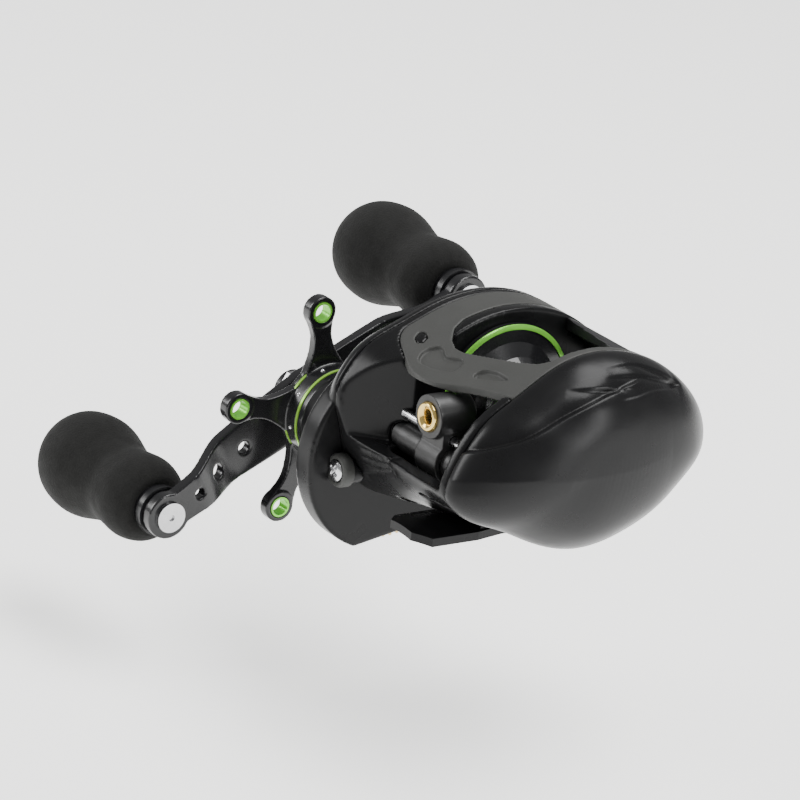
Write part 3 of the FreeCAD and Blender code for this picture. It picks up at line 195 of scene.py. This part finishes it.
def woven_carbon(name, colour):
    """Drag washers' woven carbon, in small squares."""
    finish, tree, shader = new_finish(name, colour, 0.0, 0.5)
    place = tree.nodes.new("ShaderNodeTexCoord")
    weave = tree.nodes.new("ShaderNodeTexChecker")
    weave.inputs["Scale"].default_value = 1 / (1.2 * MM)
    tree.links.new(place.outputs["Object"], weave.inputs["Vector"])
    vary_colour(tree, shader, weave.outputs["Fac"], shade(colour, 0.6), shade(colour, 1.5))
    raise_grain(tree, shader, grain(tree, 0.2 * MM, 2), 0.02 * MM, 0.4)
    return finish


# Each slot's finish takes the record's colour, times how dark it is under these lights,
# and the range of its roughness.
COLOUR = {m["slot"]: tuple(m["base_color"]) for m in frame["record"]["materials"]}
FINISH = {
    "satin_black": coated_alloy("satin_black", shade(COLOUR["satin_black"], 0.42), 0.24, 0.34,
                                level=0.18),
    "matte_cover": blasted_cover("matte_cover", shade(COLOUR["matte_cover"], 0.62)),
    "thumb_black": moulded("thumb_black", shade(COLOUR["thumb_black"], 0.6), 0.36, 0.5),
    "anodised_black": coated_alloy("anodised_black", shade(COLOUR["anodised_black"], 0.5),
                                   0.16, 0.25, coat=0.3),
    "green_anodised": turned_metal("green_anodised", COLOUR["green_anodised"], 0.16, 0.26, 0.35),
    "foam": closed_cell_foam("foam", shade(COLOUR["foam"], 0.45)),
    "stainless": turned_metal("stainless", COLOUR["stainless"], 0.16, 0.28),
    "brass": turned_metal("brass", COLOUR["brass"], 0.2, 0.34),
    "gold_ring": turned_metal("gold_ring", COLOUR["gold_ring"], 0.12, 0.2, 0.9),
    "plastic_black": moulded("plastic_black", shade(COLOUR["plastic_black"], 0.45), 0.34, 0.46),
    "plastic_white": moulded("plastic_white", COLOUR["plastic_white"], 0.4, 0.5),
    "carbon": woven_carbon("carbon", COLOUR["carbon"]),
}

# Shades that differ from the slot's: the eyelets and the spool's stripes, and the bushings.
SPRING_GREEN = turned_metal("spring_green", (0.24, 0.72, 0.08), 0.14, 0.24, 0.35)
OWN_FINISH = {
    "worm_bushings": moulded("dark_bushing", shade(COLOUR["plastic_black"], 0.7), 0.3, 0.45),
    "star_eyelets": SPRING_GREEN,
}
for node, part in frame["nodes"].items():
    part.data.materials.clear()
    part.data.materials.append(OWN_FINISH.get(node) or FINISH[SLOT_OF[node]])


# ---------------------------------------------------------------------------
# Making pieces
# ---------------------------------------------------------------------------
def linked(name, data):
    """A new object in the scene."""
    thing = bpy.data.objects.new(name, data)
    bpy.context.scene.collection.objects.link(thing)
    return thing


def plain_mesh(work):
    """The object as its modifiers leave it, as a mesh of its own."""
    return bpy.data.meshes.new_from_object(
        work.evaluated_get(bpy.context.evaluated_depsgraph_get()))


def smoothed(mesh):
    """The mesh, shaded smooth."""
    mesh.polygons.foreach_set("use_smooth", [True] * len(mesh.polygons))
    return mesh


def finished(shape, name):
    """The bmesh as a smooth-shaded mesh, with its faces outwards."""
    bmesh.ops.recalc_face_normals(shape, faces=shape.faces)
    mesh = bpy.data.meshes.new(name)
    shape.to_mesh(mesh)
    shape.free()
    return smoothed(mesh)


def middle_of(node):
    """The centre of a node's box, and the size of the box."""
    low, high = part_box(node)
    return (Vector(low) + Vector(high)) / 2, Vector(high) - Vector(low)


def place(name, mesh, body, slot, replaced=()):
    """Links a finished mesh as a piece of the reel."""
    piece = linked(name, mesh)
    if not mesh.materials:
        mesh.materials.append(FINISH[slot])
    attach(piece, body)
    if replaced:
        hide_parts(*replaced)
    return piece


def smooth_run(points, steps):
    """Catmull-Rom curve through the points."""
    ends = [points[0]] + list(points) + [points[-1]]
    out = []
    for a, b, c, d in zip(ends, ends[1:], ends[2:], ends[3:]):
        a, b, c, d = (Vector(p) for p in (a, b, c, d))
        for k in range(steps):
            t = k / steps
            out.append(tuple(0.5 * (2 * b + (c - a) * t + (2 * a - 5 * b + 4 * c - d) * t ** 2
                                    + (3 * b - 3 * c + d - a) * t ** 3)))
    return out + [tuple(points[-1])]


STEPS_A_SPAN = 10     # points along a drawn curve between two of its corners
EVEN_OVER = 6         # neighbours each way that a facing is averaged over
OUTSIDE = 0.2         # metres, a start that is clear of the reel


def drawn_on(mesh, view, points):
    """A curve drawn in mm on the side (y, z) or front (x, z) view, carried on to the surface.

    Each point comes with the way the surface faces there, averaged along the curve so that
    a step beside it runs true.
    """
    surface = BVHTree.FromPolygons([v.co for v in mesh.vertices],
                                   [p.vertices for p in mesh.polygons])
    out = []
    for a, b in smooth_run(points, STEPS_A_SPAN):
        a, b = a * MM, b * MM
        start, way = (OUTSIDE, a, b), (-1, 0, 0)
        if view == "front":
            start, way = (a, -OUTSIDE, b), (0, 1, 0)
        spot, facing = surface.ray_cast(Vector(start), Vector(way))[:2]
        if spot:
            out.append((spot, facing))
    even = []
    for i, (spot, _) in enumerate(out):
        beside = out[max(0, i - EVEN_OVER):i + EVEN_OVER + 1]
        even.append((spot, sum((facing for _, facing in beside), Vector()).normalized()))
    return even


STEP_WIDTH = 0.9      # mm, over which a step rises
FADES_OUT = 4         # widths from a path at which its effect ends


def press(mesh, path, depth, wide, side=0, taper=(0.2, 0.2)):
    """Sinks the surface beside a path, most along it, and less and less away from it.

    Side 1 or -1 sinks that side only, which leaves a crisp step along the path.
    A negative depth raises a crease. Taper is the share of the path that fades at each end.
    """
    near = KDTree(len(path))
    for i, (spot, _) in enumerate(path):
        near.insert(spot, i)
    near.balance()
    last = len(path) - 1
    moves = []
    for vertex in mesh.vertices:
        spot, i, away = near.find(vertex.co)
        if away > FADES_OUT * wide * MM:
            continue
        along = (path[min(i + 2, last)][0] - path[max(i - 2, 0)][0]).normalized()
        facing = path[i][1]
        across = (vertex.co - spot).dot(along.cross(facing).normalized()) / MM
        beyond = abs((vertex.co - spot).dot(along)) / MM
        amount = math.exp(-abs(across) / wide) * math.exp(-(beyond / wide) ** 2)
        if side:
            rise = min(max(across * side / STEP_WIDTH + 0.5, 0), 1)
            amount *= rise * rise * (3 - 2 * rise)
        t = i / last
        amount *= min(1, t / taper[0] if taper[0] else 1, (1 - t) / taper[1] if taper[1] else 1)
        moves.append((vertex.index, facing * (-depth * MM * amount)))
    for index, move in moves:
        mesh.vertices[index].co += move


WELD = 0.002 * MM     # corners nearer than this are one


def welded_copy(node):
    """The CAD node's mesh as one connected surface."""
    shape = bmesh.new()
    shape.from_mesh(frame["nodes"][node].data)
    bmesh.ops.remove_doubles(shape, verts=shape.verts, dist=WELD)
    bmesh.ops.dissolve_degenerate(shape, edges=shape.edges, dist=WELD / 2)
    mesh = bpy.data.meshes.new(node + "_copy")
    shape.to_mesh(mesh)
    shape.free()
    return mesh


MOST_TRIANGLES = 199000
SCULPT_PASSES = 3     # smoothing passes after the sculpting


def smooth_over(work, passes):
    """Adds a smoothing modifier."""
    ease = work.modifiers.new("ease", "SMOOTH")
    ease.factor = 0.5
    ease.iterations = passes


def softened_piece(name, node, cell, passes, sculpt=None):
    """The CAD shape as a casting: its edges rounded, then sculpted, with its node replaced."""
    work = linked("work", welded_copy(node))
    grid = work.modifiers.new("grid", "REMESH")
    grid.mode = "VOXEL"
    grid.voxel_size = cell * MM
    smooth_over(work, passes)
    mesh = plain_mesh(work)
    triangles = 2 * len(mesh.polygons)
    work.modifiers.clear()
    if sculpt:
        sculpt(mesh)
        smooth_over(work, SCULPT_PASSES)
    if triangles > MOST_TRIANGLES:
        thin = work.modifiers.new("thin", "DECIMATE")
        thin.ratio = MOST_TRIANGLES / triangles
    if work.modifiers:
        work.data = mesh
        mesh = plain_mesh(work)
    bpy.data.objects.remove(work)
    mesh.materials.clear()
    return place(name, smoothed(mesh), BODY_OF[node], SLOT_OF[node], [node])


NEARLY_STRAIGHT = 3.0     # radians between two sides, past which a corner needs no rounding


def eased(profile, radius, steps=4):
    """A profile of (along, out) corners with each corner rounded by that radius."""
    out = []
    n = len(profile)
    for i in range(n):
        a, b, c = (Vector(profile[(i + k) % n]) for k in (-1, 0, 1))
        u, v = (a - b), (c - b)
        r = min(radius, u.length * 0.45, v.length * 0.45)
        if u.angle(v, 0) > NEARLY_STRAIGHT:
            out.append(tuple(b))
            continue
        p, q = b + u.normalized() * r, b + v.normalized() * r
        for k in range(steps + 1):
            t = k / steps
            out.append(tuple((p * (1 - t) ** 2) + b * (2 * t * (1 - t)) + q * t ** 2))
    return out


def skin(shape, rows):
    """Joins each row of points to the next with four-sided faces; every row is a closed loop."""
    for a, b in zip(rows, rows[1:]):
        for k in range(len(a)):
            n = (k + 1) % len(a)
            shape.faces.new((a[k], a[n], b[n], b[k]))


def lathe(profile, y, z, around=96):
    """Turns a closed profile of (x, r) round the X line through (y, z)."""
    shape = bmesh.new()
    rows = [[shape.verts.new((x, y + r * math.cos(a), z + r * math.sin(a)))
             for a in (2 * math.pi * k / around for k in range(around))] for x, r in profile]
    skin(shape, rows + rows[:1])
    return finished(shape, "turned")


# ---------------------------------------------------------------------------
# Castings and covers
# ---------------------------------------------------------------------------
def fluted_lip(mesh):
    """Stepped flutes under the mouth's lip, and the crisp lower edge of the nose."""
    for line, depth, wide in (([(-18.5, 14.7), (-12, 15.4), (-7, 16.0), (-3, 16.2)], 0.9, 1.1),
                              ([(-19, 12.4), (-13, 13.1), (-6, 14.8)], 0.8, 0.9),
                              ([(-19.5, 10.2), (-14, 10.9), (-9, 12.5), (-4, 14.5)], 0.7, 0.9),
                              ([(-22, 6.2), (-15.5, 9), (-5, 14)], 0.6, 1.6)):
        press(mesh, drawn_on(mesh, "front", line), depth, wide, 1)


def sculpted_side(mesh):
    """The palm side's swept crease, the flutes at its upper rear and its soft waist line."""
    crease = drawn_on(mesh, "side", [(-28, 26.3), (-24, 28.8), (-19.5, 31.0), (-15, 33.2),
                                     (-9.5, 36.0), (-4.5, 38.2), (0.5, 40.0), (5.0, 41.0)])
    back = drawn_on(mesh, "side", [(5.0, 41.0), (1.0, 41.3), (-3.0, 41.1), (-7.0, 40.6)])
    press(mesh, crease, 1.4, 5.0, -1, (0, 0))
    press(mesh, back, 0.9, 2.2, -1, (0, 0.6))
    press(mesh, drawn_on(mesh, "side", [(3.5, 43.8), (11, 44.0), (17, 42.3), (22, 39.9),
                                        (25.7, 37.7)]), 0.9, 1.4, 1, (0.5, 0.1))
    press(mesh, drawn_on(mesh, "side", [(2.5, 42.4), (11, 42.2), (18, 40.4), (25, 37.7)]),
          0.8, 1.4, 1, (0.5, 0.1))
    press(mesh, drawn_on(mesh, "side", [(3.5, 38.5), (8.5, 39.0), (15, 39.2), (25, 37.4)]),
          0.6, 1.3, -1, (0.3, 0.1))
    press(mesh, drawn_on(mesh, "side", [(-30, 20.5), (-26, 22.0), (-16.5, 22.8), (-9, 22.6),
                                        (-2, 22.5), (10, 23.0), (20, 24.5)]),
          -0.9, 7.0, 0, (0, 0.5))


# The size of the grid's cell in mm, and the smoothing passes.
for name, node, cell, passes, sculpt in (
        ("frame_casting", "frame", 0.44, 6, fluted_lip),
        ("gear_case_casting", "gear_case", 0.4, 9, None),
        ("hood_cover", "hood", 0.25, 4, None),
        ("palm_cover", "palm_side_plate", 0.37, 10, sculpted_side),
        ("crank_strap", "crank_arm", 0.28, 6, None),
        ("star_wheel", "star_drag_wheel", 0.25, 5, None),
        ("line_carriage", "line_guide", 0.2, 4, None),
        ("thumb_rest", "thumb_bar", 0.3, 5, None)):
    softened_piece(name, node, cell, passes, sculpt)


# ---------------------------------------------------------------------------
# Knobs
# ---------------------------------------------------------------------------
# The foam's outline in mm, from its inner end: how far along, and how far out.
GRIP_OUTLINE = [(0.0, 7.2), (0.9, 8.6), (2.5, 9.6), (6.0, 10.3), (10.5, 9.9), (14.5, 9.6),
                (19.0, 10.7), (24.0, 12.1), (28.0, 12.4), (33.0, 11.5), (37.0, 9.0),
                (39.6, 5.6), (40.4, 4.2)]
GRIP_BORE = 3.62 * MM     # just clear of the tube that the foam is pressed on to


def knob_grip(which):
    """A firm foam grip, its outline scaled to the node's ball end."""
    node = "knob_foam_" + which
    centre, size = middle_of(node)
    start, tip = centre.x + size.x / 2, centre.x - size.x / 2
    scale = size.y / 2 / max(r for _, r in GRIP_OUTLINE)
    run = [(start - a * MM, r * scale) for a, r in GRIP_OUTLINE]
    profile = smooth_run(run, 5) + [(tip, GRIP_BORE), (start, GRIP_BORE)]
    mesh = lathe(profile, centre.y, centre.z, 128)
    piece = place("foam_grip_" + which, mesh, "knob_" + which, "foam", [node])


for which in ("front", "rear"):
    knob_grip(which)


# ---------------------------------------------------------------------------
# Trim, studs, screw, guide insert and clutch springs
# ---------------------------------------------------------------------------
RIM_DEPTH = 1.1 * MM      # from a flange's outer side to the stripe on its inner side
STRIPE = 1.2 * MM         # width of the green stripe
STRIPE_INSET = 0.05 * MM  # how far it lies inside the flange's own edge
DRUM_R = 9.0 * MM
SLEEVE_HALF = 6.6 * MM


def spool_trim():
    """A green stripe round each flange's edge and a bright sleeve on the drum."""
    centre, size = middle_of("spool")
    rim = size.y / 2 - STRIPE_INSET
    for name, s in (("crank_side", -1), ("palm_side", 1)):
        face = centre.x + s * (size.x / 2 - RIM_DEPTH)
        stripe = [(face - s * 0.25 * MM, rim), (face - s * 0.55 * MM, rim - STRIPE),
                  (face + s * 0.3 * MM, rim - STRIPE), (face + s * 0.4 * MM, rim)]
        mesh = lathe(eased(stripe, 0.1 * MM), centre.y, centre.z, 160)
        mesh.materials.append(SPRING_GREEN)
        place("flange_stripe_" + name, mesh, "spool", "green_anodised")
    lip = SLEEVE_HALF - 1.2 * MM
    sleeve = [(centre.x - SLEEVE_HALF, DRUM_R + 0.3 * MM), (centre.x - lip, DRUM_R + 0.75 * MM),
              (centre.x, DRUM_R + 0.5 * MM), (centre.x + lip, DRUM_R + 0.75 * MM),
              (centre.x + SLEEVE_HALF, DRUM_R + 0.3 * MM), (centre.x, DRUM_R - 0.4 * MM)]
    place("drum_sleeve", lathe(sleeve, centre.y, centre.z, 128), "spool", "stainless")


def ring_of_studs(finish):
    """Geometry nodes that set small rounded studs round a circle about X."""
    tree = bpy.data.node_groups.new("ring_of_studs", "GeometryNodeTree")
    for name, kind in (("Geometry", "Geometry"), ("Count", "Int"), ("Ring Radius", "Float"),
                       ("Stud Radius", "Float"), ("Stretch", "Float"), ("Centre", "Vector")):
        tree.interface.new_socket(name, in_out="INPUT", socket_type="NodeSocket" + kind)
    tree.interface.new_socket("Geometry", in_out="OUTPUT", socket_type="NodeSocketGeometry")
    given, made = tree.nodes.new("NodeGroupInput"), tree.nodes.new("NodeGroupOutput")
    circle = tree.nodes.new("GeometryNodeMeshCircle")
    stud = tree.nodes.new("GeometryNodeMeshUVSphere")
    stud.inputs["Segments"].default_value, stud.inputs["Rings"].default_value = 12, 8
    size = tree.nodes.new("ShaderNodeCombineXYZ")
    size.inputs["X"].default_value = size.inputs["Y"].default_value = 1
    spread = tree.nodes.new("GeometryNodeInstanceOnPoints")
    turn = tree.nodes.new("GeometryNodeTransform")
    turn.inputs["Rotation"].default_value = (0, math.pi / 2, 0)
    real = tree.nodes.new("GeometryNodeRealizeInstances")
    coat = tree.nodes.new("GeometryNodeSetMaterial")
    coat.inputs["Material"].default_value = finish
    for a, out, b, into in (
            (given, "Count", circle, "Vertices"), (given, "Ring Radius", circle, "Radius"),
            (given, "Stud Radius", stud, "Radius"), (given, "Stretch", size, "Z"),
            (circle, "Mesh", spread, "Points"), (stud, "Mesh", spread, "Instance"),
            (size, "Vector", spread, "Scale"), (spread, "Instances", turn, "Geometry"),
            (given, "Centre", turn, "Translation"), (turn, "Geometry", real, "Geometry"),
            (real, "Geometry", coat, "Geometry"), (coat, "Geometry", made, "Geometry")):
        tree.links.new(a.outputs[out], b.inputs[into])
    return tree


def studs(name, body, slot, count, ring, radius, stretch, centre):
    """A ring of studs as a piece; stretch is their length along X over their width."""
    tree = ring_of_studs(FINISH[slot])
    work = linked("work", bpy.data.meshes.new("work"))
    layer = work.modifiers.new("studs", "NODES")
    layer.node_group = tree
    keys = {s.name: s.identifier for s in tree.interface.items_tree if s.in_out == "INPUT"}
    for key, value in (("Count", count), ("Ring Radius", ring), ("Stud Radius", radius),
                       ("Stretch", stretch), ("Centre", centre)):
        layer[keys[key]] = value
    mesh = plain_mesh(work)
    bpy.data.objects.remove(work)
    place(name, smoothed(mesh), body, slot)


def studded_rings():
    """Bright studs between the star's two rings, and grip ribs round the cast control cap."""
    centre, size = middle_of("star_rings")
    studs("hub_studs", "star", "stainless", 9, size.y / 2 - 0.15 * MM, 0.55 * MM, 1.0, centre)
    centre, size = middle_of("cast_control_cap")
    studs("cap_grip_ribs", "cast_control", "anodised_black", 30, size.y / 2 - 0.2 * MM,
          0.4 * MM, 0.9 * size.x / MM, centre)


def facing_forward(mesh, x, z):
    """A shape turned about X, laid about the Y line through (x, z)."""
    mesh.transform(Matrix(((0, 1, 0, x), (1, 0, 0, 0), (0, 0, 1, z), (0, 0, 0, 1))))
    mesh.flip_normals()
    return mesh


CROWN = 0.55 * MM         # how far the head's rim lies behind its middle
RIM_BACK = 1.35 * MM      # from the head's front to the back of its rim
RECESS_REACH = 1.5 * MM   # from the middle to the end of a slot
RECESS_HALF = 0.42 * MM   # half a slot's width
RECESS_WALL = 0.12 * MM   # width of its sloping side
RECESS_DEEP = 0.9 * MM
RECESS_RISE = 2.2 * MM    # the slots' floor rises as if to end this far out
RECESS_TURN = 0.6         # radians
START_TURN = 0.4          # radians, where each circle of points starts
STEM = 0.45               # the hidden end's radius over the head's


def cross_head():
    """Pan-head screw with a cross recess, facing forward."""
    centre, size = middle_of("case_screws")
    x, z, r = centre.x, centre.z, size.z / 2
    front, end = centre.y - size.y / 2, centre.y + size.y / 2
    shape = bmesh.new()
    rings, around = 26, 96
    turns = [2 * math.pi * k / around + START_TURN for k in range(around)]
    c, s = math.cos(RECESS_TURN), math.sin(RECESS_TURN)
    rows = []
    for i in range(rings + 1):
        out = r * i / rings
        row = []
        for a in turns:
            u, v = out * math.cos(a), out * math.sin(a)
            back = CROWN * (out / r) ** 3
            arm = min(abs(c * u - s * v), abs(s * u + c * v))
            if out < RECESS_REACH and arm < RECESS_HALF:
                back += (RECESS_DEEP * min(1, (RECESS_HALF - arm) / RECESS_WALL)
                         * (1 - out / RECESS_RISE))
            row.append(shape.verts.new((x + u, front + back, z + v)))
        rows.append(row)
    for y, reach in ((front + RIM_BACK, r), (end, r * STEM)):
        rows.append([shape.verts.new((x + reach * math.cos(a), y, z + reach * math.sin(a)))
                     for a in turns])
    skin(shape, rows)
    shape.faces.new(rows[-1])
    bmesh.ops.remove_doubles(shape, verts=shape.verts, dist=WELD / 2)
    place("case_screw_head", finished(shape, "cross_head"), "reel_body", "stainless",
          ["case_screws"])
    boss = [(front + a * MM, out * MM) for a, out in (
        (1.5, 2.55), (0.7, 2.7), (0.7, 3.5), (1.3, 3.9), (3.4, 3.95), (3.4, 2.55))]
    place("case_screw_boss", facing_forward(lathe(eased(boss, 0.25 * MM), 0, 0), x, z),
          "reel_body", "matte_cover")


INSERT_WALL = 1.9 * MM


def guide_eye():
    """The guide's polished insert, with a rolled mouth."""
    centre, size = middle_of("line_guide_eye")
    front, back, out = centre.y - size.y / 2, centre.y + size.y / 2, size.z / 2
    bore = out - INSERT_WALL
    profile = [(front + 0.5 * MM, out), (front, out - 0.35 * MM), (front, out - 0.9 * MM),
               (front + 0.5 * MM, bore + 0.25 * MM), (front + 1.1 * MM, bore),
               (back - 0.5 * MM, bore), (back, bore + 0.5 * MM), (back, out)]
    mesh = lathe(eased(profile, 0.3 * MM), 0, 0, 128)
    place("line_guide_insert", facing_forward(mesh, centre.x, centre.z), "guide", "gold_ring",
          ["line_guide_eye"])


def clutch_springs():
    """The two small springs, welded into one piece that rides on the reel's body, with a mesh of
    its own.
    """
    springs = place("clutch_springs", welded_copy("yoke_springs"), "reel_body",
                    SLOT_OF["yoke_springs"], ["yoke_springs"])
    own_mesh(springs)


spool_trim()
studded_rings()
cross_head()
guide_eye()
clutch_springs()


# ---------------------------------------------------------------------------
# Floor, light and camera
# ---------------------------------------------------------------------------
FLOOR_HALF = 6.0
FLOOR_GAP = 2 * MM


def pale_floor():
    """A floor that lies just under the lowest point that the turning crank's knobs reach."""
    shaft, _ = middle_of("drive_shaft")
    knob, size = middle_of("knob_foam_front")
    reach = math.hypot(knob.y - shaft.y, knob.z - shaft.z) + size.z / 2
    z = shaft.z - reach - FLOOR_GAP
    mesh = bpy.data.meshes.new("floor")
    corners = ((-1, -1), (1, -1), (1, 1), (-1, 1))
    mesh.from_pydata([(a * FLOOR_HALF, b * FLOOR_HALF, z) for a, b in corners],
                     [], [(0, 1, 2, 3)])
    floor = linked("floor", mesh)
    finish, tree, shader = new_finish("pale_floor", (0.9, 0.9, 0.89), 0.0, 0.75)
    shader.inputs["Emission Color"].default_value = (1.0, 1.0, 0.99, 1)
    shader.inputs["Emission Strength"].default_value = 1.2
    vary_roughness(tree, shader, grain(tree, 0.05, 3), 0.7, 0.8)
    mesh.materials.append(finish)


LIGHTS_AIM = Vector((-0.04, 0, 0.01))


def soft_light(name, spot, size, power):
    """A rectangular studio light of that size, aimed at the reel."""
    lamp = bpy.data.lights.new(name, "AREA")
    lamp.shape = "RECTANGLE"
    lamp.size, lamp.size_y = size
    lamp.energy = power
    held = linked(name, lamp)
    held.location = spot
    held.rotation_euler = (LIGHTS_AIM - Vector(spot)).to_track_quat("-Z", "Y").to_euler()


def room():
    """A dim, even white surround."""
    world = bpy.data.worlds.new("room")
    world.use_nodes = True
    back = world.node_tree.nodes["Background"]
    back.inputs["Color"].default_value = (1.0, 1.0, 1.0, 1)
    back.inputs["Strength"].default_value = 0.35
    bpy.context.scene.world = world


CAMERA_AZIMUTH = math.radians(53.27)
CAMERA_ELEVATION = math.radians(19.61)
CAMERA_ROLL = math.radians(6.51)
CAMERA_TARGET = Vector((-42.7, -2.4, 13.9)) * MM
CAMERA_DISTANCE = 1041.6 * MM
CAMERA_LENS = 203.3


def camera_at_rest():
    """A long lens, turned a little about its own line of sight."""
    a, e, r = CAMERA_AZIMUTH, CAMERA_ELEVATION, CAMERA_ROLL
    back = Vector((math.sin(a) * math.cos(e), -math.cos(a) * math.cos(e), math.sin(e)))
    level = Vector((math.cos(a), math.sin(a), 0))
    rise = back.cross(level)
    right = level * math.cos(r) + rise * math.sin(r)
    up = rise * math.cos(r) - level * math.sin(r)
    lens = bpy.data.cameras.new("camera")
    lens.lens = CAMERA_LENS
    lens.sensor_width = 36.0
    lens.clip_start, lens.clip_end = 0.01, 50
    held = linked("camera", lens)
    spot = CAMERA_TARGET + back * CAMERA_DISTANCE
    held.matrix_world = Matrix((
        (right.x, up.x, back.x, spot.x), (right.y, up.y, back.y, spot.y),
        (right.z, up.z, back.z, spot.z), (0, 0, 0, 1)))
    bpy.context.scene.camera = held


pale_floor()
room()
soft_light("overhead", (0.1, 0.25, 0.95), (0.9, 0.55), 14)
soft_light("front_left", (-0.75, -0.75, 0.5), (0.35, 0.6), 7)
soft_light("right_rim", (0.95, 0.35, 0.35), (0.2, 0.7), 5)
camera_at_rest()
